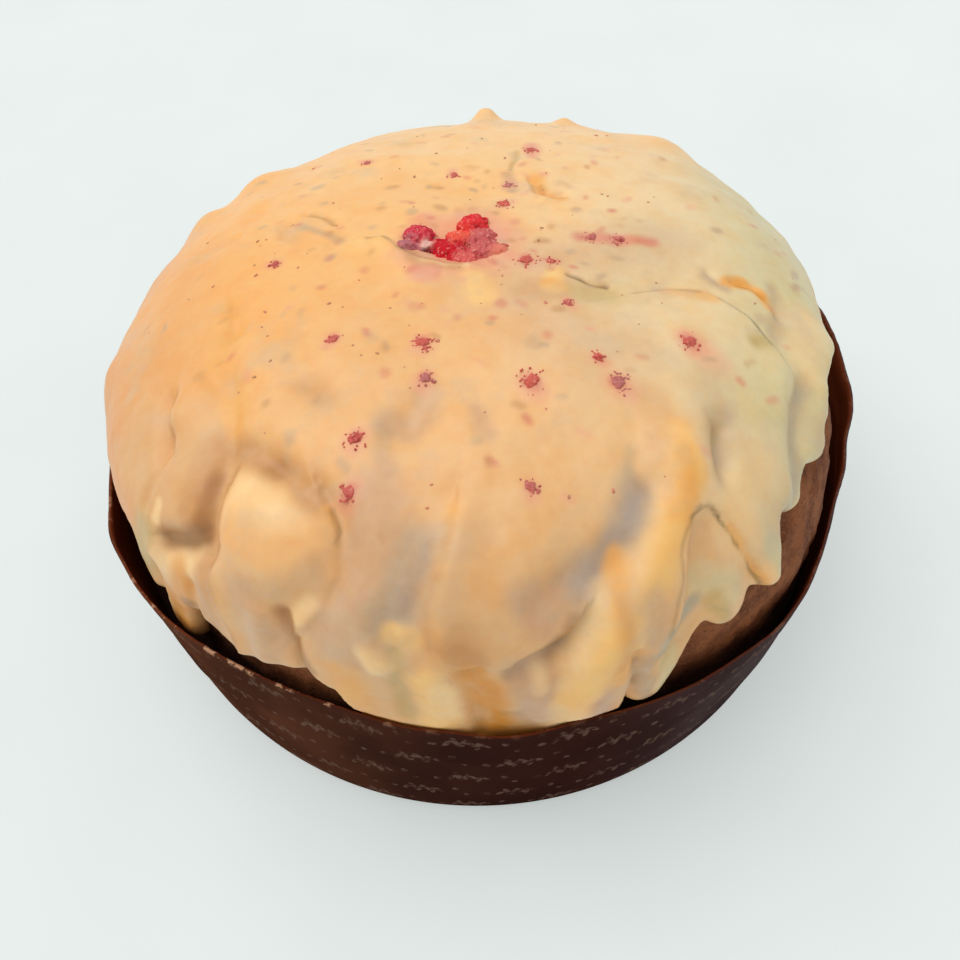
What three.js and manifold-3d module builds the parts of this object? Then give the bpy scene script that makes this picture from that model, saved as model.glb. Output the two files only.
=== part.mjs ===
// A low, wide chocolate panettone in its brown paper baking case, coated with cream icing that
// runs down the dome in thick drips. Pieces of freeze-dried raspberry lie on the crown.
// Millimetres, +Z up. The origin is the centre of the case's underside, and -Y is the front.
//
// A place on the dome is [azimuth, fall], both in degrees. Azimuth 0 is the right side, +X, and
// -90 is the front. Fall is 0 at the crown and 90 at the dome's widest line, and goes on down the
// side from there, with the same length for each degree.
import * as THREE from "three";
import { mergeVertices } from "three/addons/utils/BufferGeometryUtils.js";
import Module from "manifold-3d";

const wasm = await Module();
wasm.setup();

const DEGREE = Math.PI / 180;

// The paper case: its wall swells out from the floor and stands nearly upright at the rim
const CASE = { floorRadius: 96.5, rimRadius: 104.6, height: 62.5, paper: 0.8, swell: 0.6, sides: 72 };
const CASE_LEVELS = [0, 0.04, 0.12, 0.28, 0.55, 1];
// How far the rim stands out of round, by azimuth
const RIM_OUT = [
  [-180, -1.8], [-167, -2.8], [-150, 1.5], [-145, 1.6], [-111, -1.8], [-95, 0.2], [-86, 1.4],
  [-77, 0.3], [-48, 1.8], [-24, -2.6], [-13, -2], [0, 1.4], [20, 4.2], [45, 2], [75, 1], [110, -0.6],
  [150, 0], [180, -1.8],
];

// The icing's mean surface: a dome that isn't quite round and is lower at the back
const DOME = {
  radius: 98.9,
  rise: 48.5,
  squareness: 2.6,
  widestHeight: 68.6,
  slopeRight: 0.029,
  slopeBack: -0.115,
};
const PLAN = { right: -0.5, back: -0.3, oval: -3, skew: 2.7 };
// Bread that swells out under the icing's edge at the front right
const SWELL = { azimuth: -40, spread: 32, out: 9.5, fallFrom: 71, fallTo: 96 };
// Below this height the bread fills the case, and above it there is a crevice round the dome
const CREVICE = { bottom: 32, top: 50 };
const GAP = 0.3;

// The icing
const COAT = 4;
const ROUNDED_EDGE = 3.2;
// Room to the case, and how fast the icing may lean out over the rim
const CASE_CLEARANCE = 0.8;
const OVERHANG = 0.6;
// How deep the icing's sheet dives into the bread past the icing's edge
const DIVE = 3;
// How widely neighbouring drips run together
const MERGE = 3.5;
const LEAST_DEPTH = 1.2;
// Where the coat ends between the drips, by azimuth
const COAT_END = [
  [-180, 87], [-152, 87], [-141, 88], [-136, 88], [-128, 91], [-119, 92.5], [-112, 92], [-108, 94],
  [-103, 107], [-78, 107], [-73.5, 102], [-70, 94], [-64, 90], [-60, 87.5], [-52, 83], [-46, 79.5],
  [-35, 78.5], [-29, 78], [-20, 76], [-3, 75.5], [15, 77], [60, 80], [120, 79], [160, 83], [180, 87],
];
// Drips: where each leaves the coat, the middle of its round end, and its half width
const DRIPS = [
  { from: [-12, 68], to: [-12, 72.5], half: 7 },
  { from: [-32, 72], to: [-33, 77], half: 5 },
  { from: [-40, 74], to: [-42.5, 79], half: 4.6 },
  { from: [-48.5, 78], to: [-50.5, 86.3], half: 4 },
  { from: [-54, 80], to: [-57, 87.3], half: 6.3 },
  { from: [-62.5, 84], to: [-68.6, 98.3], half: 5.4 },
  { from: [-121, 80], to: [-122, 89.5], half: 5 },
  { from: [-132, 80], to: [-135, 98.5], half: 6 },
  { from: [-141, 78], to: [-141, 93], half: 5.5 },
  { from: [-158, 78], to: [-158, 89], half: 9 },
  { from: [-176, 76], to: [-176, 89], half: 9 },
  { from: [158, 72], to: [157, 86], half: 8 },
  { from: [133, 70], to: [133, 82], half: 8 },
  { from: [108, 70], to: [107, 85], half: 8 },
  { from: [82, 70], to: [82, 80], half: 9 },
  { from: [56, 70], to: [57, 84], half: 8 },
  { from: [31, 68], to: [31, 79], half: 8 },
  { from: [10, 68], to: [10, 81], half: 6 },
];
// Runs and lumps that stand proud (rise above 0) and valleys and dents (below 0). Each follows a
// route, or sits on a single place, and fades out over its reach.
const RELIEF = [
  { rise: 2.6, reach: 6.5, route: [[-54, 65], [-60, 69], [-66, 73], [-72, 80], [-76, 87], [-78, 100]] },
  { rise: -2.6, reach: 5, route: [[-82, 77], [-79, 75], [-75, 76], [-69, 73], [-64, 68]] },
  { rise: 1.8, reach: 12, route: [[-88, 76]] },
  { rise: 1.3, reach: 4, route: [[-93, 67], [-94, 72], [-96, 79], [-94, 86]] },
  { rise: -2.4, reach: 5.5, route: [[-100, 81]] },
  { rise: -2.2, reach: 3.5, route: [[-85, 87], [-80, 84], [-77, 82]] },
  { rise: 2.8, reach: 12, route: [[-118, 72]] },
  {
    rise: -2.3,
    reach: 3.6,
    route: [[-127, 64], [-120, 65], [-110, 68], [-108, 71], [-109, 76], [-113, 80], [-114, 86]],
  },
  { rise: -1.8, reach: 3.2, route: [[-154, 56], [-147, 61], [-140, 61], [-130, 67], [-126, 76]] },
  { rise: 2, reach: 4.5, route: [[-150, 58], [-146, 62], [-144, 67]] },
  { rise: -1.6, reach: 3, route: [[-148, 67], [-142, 71]] },
  { rise: -2.4, reach: 3.8, route: [[-134, 80], [-131, 79], [-127, 77]] },
  { rise: 1.8, reach: 3.6, route: [[-125, 81], [-122, 89], [-120, 94]] },
  { rise: -1.8, reach: 2.8, route: [[-26, 72], [-33, 72], [-38, 75], [-41, 77], [-45, 83]] },
  { rise: 1.3, reach: 4.5, route: [[-26, 66], [-38, 74], [-46, 80], [-49, 90]] },
  { rise: -1.5, reach: 3, route: [[-47, 65], [-50, 67], [-52, 70]] },
  { rise: -1.7, reach: 3, route: [[-59, 84], [-61, 84], [-64, 89]] },
  { rise: 3.4, reach: 2.7, route: [[86.4, 66], [87.6, 66]] },
  { rise: -1.4, reach: 4.5, route: [[78, 66]] },
  { rise: 1.8, reach: 3, route: [[70, 66]] },
  { rise: 2.8, reach: 7, route: [[139, 68]] },
  { rise: 2.6, reach: 6.5, route: [[153, 71]] },
  { rise: 1.5, reach: 7.5, route: [[-169, 78]] },
  { rise: 2.8, reach: 8, route: [[49, 68]] },
  { rise: -1.6, reach: 11, route: [[28, 70], [3, 77]] },
  { rise: -1.6, reach: 4.5, route: [[-103, 55]] },
  { rise: -1.5, reach: 4.5, route: [[-127, 54]] },
  { rise: -1.7, reach: 5, route: [[-121, 65]] },
  { rise: -1.8, reach: 9, route: [[-150, 7]] },
  { rise: 1.5, reach: 7, route: [[-14, 74.5], [-20, 76], [-27, 77.5]] },
];
// A flap edge: left of its route, seen from outside, the surface drops. The drop fades over its
// reach, and softness is how gently the edge turns.
const FLAPS = [
  {
    drop: 2.2,
    reach: 9,
    softness: 0.6,
    route: [
      [-51, 89], [-53, 80], [-55, 75], [-57, 73], [-60, 73], [-62, 76], [-64, 82], [-66, 89],
    ],
  },
  { drop: 1.5, reach: 8, softness: 0.6, route: [[-34, 42], [-23, 48], [-19, 53], [-21, 60], [-25, 65]] },
  { drop: 1.6, reach: 6, softness: 0.6, route: [[-113, 66], [-109, 69], [-108, 74], [-109, 79], [-112, 84]] },
  { drop: 1.3, reach: 5, softness: 0.6, route: [[-121, 91], [-124, 80], [-126.5, 72], [-129, 67.5]] },
  { drop: 1.5, reach: 6, softness: 0.6, route: [[-94, 86], [-96, 80], [-96, 76], [-94, 71], [-93, 65]] },
];
// Soft unevenness all over
const BUMPS = { count: 70, reach: [5, 11], rise: 0.7, seed: 4711 };

// The broken raspberry on the crown: rough lumps, each set with small rounded grains. A grain's
// size varies by its share, and the turns from grain to grain are nearly the golden angle.
const BERRY = {
  seed: 93,
  grain: 1.9,
  grainVaries: 0.25,
  grainsEach: 5,
  grainTurn: 137.5,
  looseTurn: 60,
  leastTip: 13,
  mostTip: 70,
  lumps: [
    { at: [-13, 0.5], radii: [5, 4, 3] },
    { at: [-6, -3], radii: [6, 4.5, 3.2] },
    { at: [-1, 4], radii: [5.5, 4, 4] },
    { at: [3, -3.5], radii: [5, 4.5, 3.4] },
  ],
};
// Raspberry crumbs stuck in the icing: azimuth, fall and half length. They are less wide and less
// high than long, and stand out of the icing a little.
const CRUMB_SHAPE = { wide: 0.8, high: 0.6, standsOut: 0.2 };
const CRUMBS = [
  [-106, 41, 2.1], [-77, 50, 2.6], [-38, 55, 2.2], [-59, 54, 2.4], [-111, 59, 2], [-109, 65, 2],
  [-102, 48, 1.7], [-131, 46, 1.5], [-42, 19, 2.2], [-32, 24, 1.5], [59, 18, 1.7], [70, 46, 1.6],
  [99, 33, 1.4], [-175, 47, 1.3], [124, 49, 1.3], [-52, 36, 1.3], [-59, 49, 1.3], [69, 28, 1.4],
  [-82, 64, 1.6], [-3, 31, 1.6], [-3, 37, 1.8],
];

// Mesh rings from the crown down. A crowding under 1 puts them closer together low down.
const BREAD_MESH = { rings: 17, domeShare: 0.76, crowding: 0.95 };
const ICING_MESH = { rings: 34, lastFall: 112, crowding: 0.78 };

// A repeatable random draw, from 0 to 1
function drawer(seed) {
  let state = seed;
  return () => {
    state = (state * 16807) % 2147483647;
    return state / 2147483647;
  };
}

function smoothStep(low, high, value) {
  const t = Math.min(1, Math.max(0, (value - low) / (high - low)));
  return t * t * (3 - 2 * t);
}

// The larger of two lengths, rounded where they are alike
function smoothMax(a, b, round) {
  const t = Math.max(0, round - Math.abs(a - b)) / round;
  return Math.max(a, b) + (t * t * round) / 4;
}

function tableAt(table, x) {
  const next = table.findIndex(([place]) => place >= x);
  if (next <= 0) return table[0][1];
  const [[x0, y0], [x1, y1]] = [table[next - 1], table[next]];
  return y0 + (y1 - y0) * smoothStep(x0, x1, x);
}

// The case's outer radius: round, and then as the rim stands out of round
function roundCaseRadius(height) {
  const share = Math.max(0, height / CASE.height);
  return CASE.floorRadius + (CASE.rimRadius - CASE.floorRadius) * share ** CASE.swell;
}

function caseRadius(azimuth, height) {
  const share = Math.max(0, height / CASE.height);
  return roundCaseRadius(height) + tableAt(RIM_OUT, azimuth) * share ** 2;
}

function planRadius(azimuth) {
  const a = azimuth * DEGREE;
  return (
    DOME.radius +
    PLAN.right * Math.cos(a) +
    PLAN.back * Math.sin(a) +
    PLAN.oval * Math.cos(2 * a) +
    PLAN.skew * Math.sin(2 * a)
  );
}

// A point of the icing's mean surface
function domePoint([azimuth, fall]) {
  const a = azimuth * DEGREE;
  const radius = planRadius(azimuth);
  const polar = Math.min(fall, 90) * DEGREE;
  const rise = Math.max(0, Math.cos(polar));
  const reach =
    ((Math.sin(polar) / radius) ** DOME.squareness + (rise / DOME.rise) ** DOME.squareness) **
    (-1 / DOME.squareness);
  const out = reach * Math.sin(polar);
  const lean = out * (DOME.slopeRight * Math.cos(a) + DOME.slopeBack * Math.sin(a));
  const below = Math.max(0, fall - 90) * radius * DEGREE;
  const height = DOME.widestHeight + reach * rise + lean - below;
  return new THREE.Vector3(out * Math.cos(a), out * Math.sin(a), height);
}

function domeNormal([azimuth, fall]) {
  const step = 0.2;
  const off = Math.max(fall, 1);
  const round = domePoint([azimuth + step, off]).sub(domePoint([azimuth - step, off]));
  const down = domePoint([azimuth, off + step]).sub(domePoint([azimuth, off - step]));
  return down.cross(round).normalize();
}

// A point of the bread: a coat's depth in from the dome, swollen at the front right, and out to
// the case's wall where it fills the case
function breadPoint(place) {
  const [azimuth, fall] = place;
  const point = domePoint(place).addScaledVector(domeNormal(place), -COAT);
  const out = Math.hypot(point.x, point.y);
  const turn = (azimuth - SWELL.azimuth) / SWELL.spread;
  const { fallFrom, fallTo } = SWELL;
  const swollen = out + SWELL.out * Math.exp(-turn * turn) * smoothStep(fallFrom, fallTo, fall);
  const wall = caseRadius(azimuth, Math.min(point.z, CASE.height)) - CASE.paper - 1.5 * GAP;
  const filled = fall > 90 ? 1 - smoothStep(CREVICE.bottom, CREVICE.top, point.z) : 0;
  const scale = out > 0 ? THREE.MathUtils.lerp(swollen, wall, filled) / out : 1;
  return new THREE.Vector3(point.x * scale, point.y * scale, point.z);
}

// The nearest way from a point to a route: how far, and whether the point is on its right
function nearest(point, normal, route) {
  if (route.length === 1) return { distance: point.distanceTo(route[0]), right: false };
  let best = { distance: Infinity, right: false };
  const line = new THREE.Line3();
  const foot = new THREE.Vector3();
  for (let i = 1; i < route.length; i += 1) {
    line.set(route[i - 1], route[i]);
    line.closestPointToPoint(point, true, foot);
    const distance = foot.distanceTo(point);
    if (distance < best.distance) {
      const along = line.delta(new THREE.Vector3());
      const side = along.cross(new THREE.Vector3().subVectors(point, line.start)).dot(normal);
      best = { distance, right: side < 0 };
    }
  }
  return best;
}

function bumpsAllOver() {
  const draw = drawer(BUMPS.seed);
  return Array.from({ length: BUMPS.count }, () => {
    const azimuth = 360 * draw() - 180;
    const fall = 20 + 80 * draw();
    const [least, most] = BUMPS.reach;
    const reach = least + (most - least) * draw();
    return { rise: BUMPS.rise * (2 * draw() - 1), reach, route: [[azimuth, fall]] };
  });
}

const placed = (list) => list.map((item) => ({ ...item, route: item.route.map(breadPoint) }));
const ROUTES = placed([...RELIEF, ...bumpsAllOver()]);
const EDGES = placed(FLAPS);
const RUNS = DRIPS.map(({ from, to, half }) => ({ half, route: [from, to].map(breadPoint) }));

// How far inside the icing's outline a place is, in millimetres
function insideIcing([azimuth, fall], point, normal) {
  const coat = (tableAt(COAT_END, azimuth) - fall) * planRadius(azimuth) * DEGREE;
  return RUNS.reduce(
    (inside, run) =>
      smoothMax(inside, run.half - nearest(point, normal, run.route).distance, MERGE),
    coat,
  );
}

function icingDepth(point, normal) {
  let depth = COAT;
  for (const { rise, reach, route } of ROUTES) {
    const { distance } = nearest(point, normal, route);
    depth += rise * Math.exp(-((distance / reach) ** 2));
  }
  for (const { drop, reach, softness, route } of EDGES) {
    const { distance, right } = nearest(point, normal, route);
    const low = 1 / (1 + Math.exp(((right ? 1 : -1) * distance) / softness));
    depth -= drop * low * Math.exp(-((distance / reach) ** 2));
  }
  return Math.max(depth, LEAST_DEPTH);
}

// The icing's surface, or a sheet sunk in the bread where there is no icing
function icingPoint(place, extra = 0) {
  const point = breadPoint(place);
  const normal = domeNormal(place);
  const inside = insideIcing(place, point, normal);
  const share = 1 - Math.min(1, Math.max(0, inside) / ROUNDED_EDGE);
  const lift = inside > 0 ? icingDepth(point, normal) * Math.sqrt(1 - share ** 2) + extra : 0;
  point.addScaledVector(normal, inside > 0 ? lift : Math.max(-DIVE, 1.5 * inside));
  const above = Math.max(0, point.z - CASE.height);
  const wall = caseRadius(place[0], point.z - above) - CASE.paper - CASE_CLEARANCE;
  const pulledIn = Math.min(1, (wall + OVERHANG * above) / Math.hypot(point.x, point.y));
  point.x *= pulledIn;
  point.y *= pulledIn;
  return point;
}

// A closed body over a disc of rings, 6 points more on each, with a flat underside
function ringBody(rings, place) {
  const points = [place(0, 0)];
  const triangles = [];
  const first = (ring) => (ring === 0 ? 0 : 1 + 3 * ring * (ring - 1));
  const index = (ring, step) => (ring === 0 ? 0 : first(ring) + (step % (6 * ring)));
  for (let ring = 1; ring <= rings; ring += 1) {
    for (let step = 0; step < 6 * ring; step += 1)
      points.push(place(ring / rings, -180 + (60 * step) / ring));
    for (let sector = 0; sector < 6; sector += 1)
      for (let k = 0; k < ring; k += 1) {
        const outer = sector * ring + k;
        const inner = sector * (ring - 1) + k;
        triangles.push(index(ring - 1, inner), index(ring, outer), index(ring, outer + 1));
        if (k < ring - 1)
          triangles.push(index(ring - 1, inner), index(ring, outer + 1), index(ring - 1, inner + 1));
      }
  }
  const last = points.slice(first(rings));
  const height = last.reduce((sum, p) => sum + p.z, 0) / last.length;
  points.push(new THREE.Vector3(0, 0, height));
  for (let step = 0; step < 6 * rings; step += 1)
    triangles.push(index(rings, step + 1), index(rings, step), points.length - 1);
  return new THREE.BufferGeometry().setFromPoints(points).setIndex(triangles);
}

function solidFrom(geometry) {
  const bare = geometry.clone();
  bare.deleteAttribute("normal");
  bare.deleteAttribute("uv");
  const merged = mergeVertices(bare, 1e-4);
  return new wasm.Manifold(
    new wasm.Mesh({
      numProp: 3,
      vertProperties: new Float32Array(merged.attributes.position.array),
      triVerts: new Uint32Array(merged.index.array),
    }),
  );
}

function geometryFrom(solid) {
  const { vertProperties, triVerts, numProp } = solid.getMesh();
  const positions = new Float32Array((vertProperties.length / numProp) * 3);
  for (let i = 0; i < positions.length / 3; i += 1)
    positions.set(vertProperties.subarray(i * numProp, i * numProp + 3), i * 3);
  return new THREE.BufferGeometry()
    .setAttribute("position", new THREE.BufferAttribute(positions, 3))
    .setIndex([...triVerts]);
}

function largestBody(solid) {
  return solid.decompose().reduce((a, b) => (a.volume() > b.volume() ? a : b));
}

// The case: a closed profile turned round Z, then waved towards the rim
function paperCase() {
  const { height, paper, sides } = CASE;
  const outside = CASE_LEVELS.map(
    (t) => new THREE.Vector2(roundCaseRadius(t * height), t * height),
  );
  const inside = CASE_LEVELS.slice(1).map(
    (t) => new THREE.Vector2(roundCaseRadius(t * height) - paper, t * height),
  );
  const corner = new THREE.Vector2(roundCaseRadius(paper) - paper, paper);
  const middle = [new THREE.Vector2(0, 0), new THREE.Vector2(0, paper)];
  const profile = [middle[0], ...outside, ...inside.reverse(), corner, middle[1]];
  const geometry = new THREE.LatheGeometry(profile, sides);
  const position = geometry.attributes.position;
  const point = new THREE.Vector3();
  geometry.rotateX(Math.PI / 2);
  for (let i = 0; i < position.count; i += 1) {
    point.fromBufferAttribute(position, i);
    const out = Math.hypot(point.x, point.y);
    if (out < 1) continue;
    const azimuth = Math.atan2(point.y, point.x) / DEGREE;
    const waved = out + caseRadius(azimuth, point.z) - roundCaseRadius(point.z);
    position.setXYZ(i, (point.x * waved) / out, (point.y * waved) / out, point.z);
  }
  return geometry;
}

// The bread: most rings are the dome's, and the rest go down to the case's floor
function bread(grow) {
  const { rings, domeShare, crowding } = BREAD_MESH;
  const floor = CASE.paper + GAP - grow;
  return ringBody(rings, (share, azimuth) => {
    const wallFall = (breadPoint([azimuth, 90]).z - floor) / (planRadius(azimuth) * DEGREE);
    const fall =
      share <= domeShare
        ? 90 * (share / domeShare) ** crowding
        : 90 + (wallFall * (share - domeShare)) / (1 - domeShare);
    const point = breadPoint([azimuth, fall]);
    return share < 1 ? point.addScaledVector(domeNormal([azimuth, fall]), grow) : point;
  });
}

// The icing before the bread is cut out of it, with extra millimetres on its outside
function icingBlob(extra) {
  const { rings, lastFall, crowding } = ICING_MESH;
  return solidFrom(
    ringBody(rings, (share, azimuth) => icingPoint([azimuth, lastFall * share ** crowding], extra)),
  );
}

function crumb([azimuth, fall, size]) {
  const place = [azimuth, fall];
  const up = domeNormal(place);
  const turn = new THREE.Quaternion().setFromUnitVectors(new THREE.Vector3(0, 0, 1), up);
  const { wide, high, standsOut } = CRUMB_SHAPE;
  const middle = icingPoint(place).addScaledVector(up, standsOut * size);
  const scale = new THREE.Vector3(size, wide * size, high * size);
  const matrix = new THREE.Matrix4().compose(middle, turn, scale);
  return solidFrom(new THREE.IcosahedronGeometry(1, 0).applyMatrix4(matrix));
}

// Icing with its raspberry crumbs: what stands out of the bread
function icing() {
  const coated = wasm.Manifold.union([icingBlob(0), ...CRUMBS.map(crumb)]);
  return geometryFrom(largestBody(coated.subtract(solidFrom(bread(GAP)))));
}

// The icing's height over a point of the plan near the crown
function crownHeight(x, y) {
  const azimuth = Math.atan2(y, x) / DEGREE;
  const fall = Math.atan2(Math.hypot(x, y), DOME.rise) / DEGREE;
  return icingPoint([azimuth, fall]).z;
}

// A place on a lump's skin, by its turn round the lump's middle and its tip from straight up
function onLump({ at: [x, y], radii: [along, across, tall] }, height, turn, tip) {
  return new THREE.Vector3(
    x + along * Math.cos(turn) * Math.sin(tip),
    y + across * Math.sin(turn) * Math.sin(tip),
    height + tall * Math.cos(tip),
  );
}

// One lump of the raspberry: its core and the grains on it
function berryLump(lump, draw) {
  const { grain, grainVaries, grainsEach, grainTurn, looseTurn, leastTip, mostTip } = BERRY;
  const height = crownHeight(...lump.at);
  const core = new THREE.IcosahedronGeometry(1, 1).scale(...lump.radii);
  const pieces = [core.translate(...lump.at, height)];
  for (let i = 0; i < grainsEach; i += 1) {
    const turn = (grainTurn * i + looseTurn * draw()) * DEGREE;
    const tip = (leastTip + (mostTip - leastTip) * ((i + draw()) / grainsEach)) * DEGREE;
    const size = grain * (1 - grainVaries + 2 * grainVaries * draw());
    const { x, y, z } = onLump(lump, height, turn, tip);
    pieces.push(new THREE.OctahedronGeometry(size, 1).translate(x, y, z));
  }
  return pieces.map(solidFrom);
}

function raspberry() {
  const draw = drawer(BERRY.seed);
  const lumps = BERRY.lumps.flatMap((lump) => berryLump(lump, draw));
  return geometryFrom(largestBody(wasm.Manifold.union(lumps).subtract(icingBlob(GAP))));
}

function piece(name, geometry, colour, roughness) {
  const material = new THREE.MeshStandardMaterial({ color: colour, roughness, metalness: 0 });
  const mesh = new THREE.Mesh(geometry, material);
  mesh.name = name;
  return mesh;
}

const panettone = new THREE.Group();
panettone.name = "panettone";
panettone.add(
  piece("paper_case", paperCase(), 0x3d2423, 0.55),
  piece("bread", bread(0), 0x6a3a20, 0.9),
  piece("icing", icing(), 0xf2cf98, 0.4),
  piece("raspberry", raspberry(), 0xc8283c, 0.85),
);

export default panettone;
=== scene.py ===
"""A low, wide chocolate panettone in its brown paper baking case, coated with cream icing.

Lengths in the tables are millimetres and are turned into metres where a mesh is made. +Z is up, the
origin is the centre of the case's underside, and -Y is the front.

A place on the dome is (azimuth, fall), both in degrees. Azimuth 0 is the right side, +X, and -90 is
the front. Fall is 0 at the crown and 90 at the dome's widest line, and goes on down the side.
"""

import math

import bmesh
import bpy
import numpy as np
from mathutils import Matrix, Vector, noise


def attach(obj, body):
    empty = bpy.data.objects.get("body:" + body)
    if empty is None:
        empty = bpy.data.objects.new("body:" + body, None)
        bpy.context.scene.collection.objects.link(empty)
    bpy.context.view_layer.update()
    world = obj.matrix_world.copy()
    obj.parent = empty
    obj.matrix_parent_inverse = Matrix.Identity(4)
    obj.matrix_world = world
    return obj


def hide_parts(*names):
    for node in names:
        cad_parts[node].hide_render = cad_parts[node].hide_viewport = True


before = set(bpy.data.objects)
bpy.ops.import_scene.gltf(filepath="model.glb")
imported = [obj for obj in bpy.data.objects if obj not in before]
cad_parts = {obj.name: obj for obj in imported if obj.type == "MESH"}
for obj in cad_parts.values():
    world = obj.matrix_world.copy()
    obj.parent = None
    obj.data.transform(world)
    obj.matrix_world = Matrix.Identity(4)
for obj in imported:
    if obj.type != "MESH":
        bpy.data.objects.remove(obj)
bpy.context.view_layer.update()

MM = 0.001

# The camera: its place, how far it looks down, how far it is turned and rolled, and its view angle
CAMERA = {"place": (1, -208, 286), "down": 51.9, "turn": -0.1, "roll": -1.0, "view": 48}

# The form, as in the solids

# The case: radii and thickness of the paper, and a power below 1 that makes its wall swell
CASE = {"floor_radius": 96.5, "rim_radius": 104.6, "height": 62.5, "paper": 0.8, "swell": 0.6}
# How far the rim stands out of round, by azimuth
RIM_OUT = [
    (-180, -1.8), (-167, -2.8), (-150, 1.5), (-145, 1.6), (-111, -1.8), (-95, 0.2), (-86, 1.4),
    (-77, 0.3), (-48, 1.8), (-24, -2.6), (-13, -2), (0, 1.4), (20, 4.2), (45, 2), (75, 1), (110, -0.6),
    (150, 0), (180, -1.8),
]

# The icing's mean surface: a dome that isn't quite round and is lower at the back
DOME = {
    "radius": 98.9,
    "rise": 48.5,
    "squareness": 2.6,
    "widest_height": 68.6,
    "slope_right": 0.029,
    "slope_back": -0.115,
}
PLAN = {"right": -0.5, "back": -0.3, "oval": -3, "skew": 2.7}
# Bread that swells out under the icing's edge at the front right
SWELL = {"azimuth": -40, "spread": 32, "out": 9.5, "fall_from": 71, "fall_to": 96}
# Below this height the bread fills the case, and above it there is a crevice round the dome
CREVICE = {"bottom": 32, "top": 50}
GAP = 0.3

# The coat's mean depth, and the width over which its edge rounds off
COAT = 4
ROUNDED_EDGE = 3.2
LEAST_DEPTH = 1.2
# The icing's gap to the case, and how far it may lean out for each millimetre above the rim
CASE_CLEARANCE = 0.8
OVERHANG = 0.6
# How widely neighbouring drips run together
MERGE = 3.5
# Where the coat ends between the drips, by azimuth
COAT_END = [
    (-180, 87), (-152, 87), (-141, 88), (-136, 88), (-128, 91), (-119, 92.5), (-112, 92), (-108, 94),
    (-103, 107), (-78, 107), (-73.5, 102), (-70, 94), (-64, 90), (-60, 87.5), (-52, 83), (-46, 79.5),
    (-35, 78.5), (-29, 78), (-20, 76), (-3, 75.5), (15, 77), (60, 80), (120, 79), (160, 83), (180, 87),
]
# Drips: where each leaves the coat, the middle of its round end, and its half width
DRIPS = [
    ((-12, 68), (-12, 72.5), 7),
    ((-32, 72), (-33, 77), 5),
    ((-40, 74), (-42.5, 79), 4.6),
    ((-48.5, 78), (-50.5, 86.3), 4),
    ((-54, 80), (-57, 87.3), 6.3),
    ((-62.5, 84), (-68.6, 98.3), 5.4),
    ((-121, 80), (-122, 89.5), 5),
    ((-132, 80), (-135, 98.5), 6),
    ((-141, 78), (-141, 93), 5.5),
    ((-158, 78), (-158, 89), 9),
    ((-176, 76), (-176, 89), 9),
    ((158, 72), (157, 86), 8),
    ((133, 70), (133, 82), 8),
    ((108, 70), (107, 85), 8),
    ((82, 70), (82, 80), 9),
    ((56, 70), (57, 84), 8),
    ((31, 68), (31, 79), 8),
    ((10, 68), (10, 81), 6),
]
# Runs and lumps that stand proud (rise above 0) and valleys and dents (below 0): how high each is,
# how far it reaches to the sides, and the route that it follows
RELIEF = [
    (2.6, 6.5, [(-54, 65), (-60, 69), (-66, 73), (-72, 80), (-76, 87), (-78, 100)]),
    (-2.6, 5, [(-82, 77), (-79, 75), (-75, 76), (-69, 73), (-64, 68)]),
    (1.8, 12, [(-88, 76)]),
    (1.3, 4, [(-93, 67), (-94, 72), (-96, 79), (-94, 86)]),
    (-2.4, 5.5, [(-100, 81)]),
    (-2.2, 3.5, [(-85, 87), (-80, 84), (-77, 82)]),
    (2.8, 12, [(-118, 72)]),
    (-2.3, 3.6, [(-127, 64), (-120, 65), (-110, 68), (-108, 71), (-109, 76), (-113, 80), (-114, 86)]),
    (-1.8, 3.2, [(-154, 56), (-147, 61), (-140, 61), (-130, 67), (-126, 76)]),
    (2, 4.5, [(-150, 58), (-146, 62), (-144, 67)]),
    (-1.6, 3, [(-148, 67), (-142, 71)]),
    (-2.4, 3.8, [(-134, 80), (-131, 79), (-127, 77)]),
    (1.8, 3.6, [(-125, 81), (-122, 89), (-120, 94)]),
    (-1.8, 2.8, [(-26, 72), (-33, 72), (-38, 75), (-41, 77), (-45, 83)]),
    (1.3, 4.5, [(-26, 66), (-38, 74), (-46, 80), (-49, 90)]),
    (-1.5, 3, [(-47, 65), (-50, 67), (-52, 70)]),
    (-1.7, 3, [(-59, 84), (-61, 84), (-64, 89)]),
    (3.4, 2.7, [(86.4, 66), (87.6, 66)]),
    (-1.4, 4.5, [(78, 66)]),
    (1.8, 3, [(70, 66)]),
    (2.8, 7, [(139, 68)]),
    (2.6, 6.5, [(153, 71)]),
    (1.5, 7.5, [(-169, 78)]),
    (2.8, 8, [(49, 68)]),
    (-1.6, 11, [(28, 70), (3, 77)]),
    (-1.6, 4.5, [(-103, 55)]),
    (-1.5, 4.5, [(-127, 54)]),
    (-1.7, 5, [(-121, 65)]),
    (-1.8, 9, [(-150, 7)]),
    (1.5, 7, [(-14, 74.5), (-20, 76), (-27, 77.5)]),
]
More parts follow.
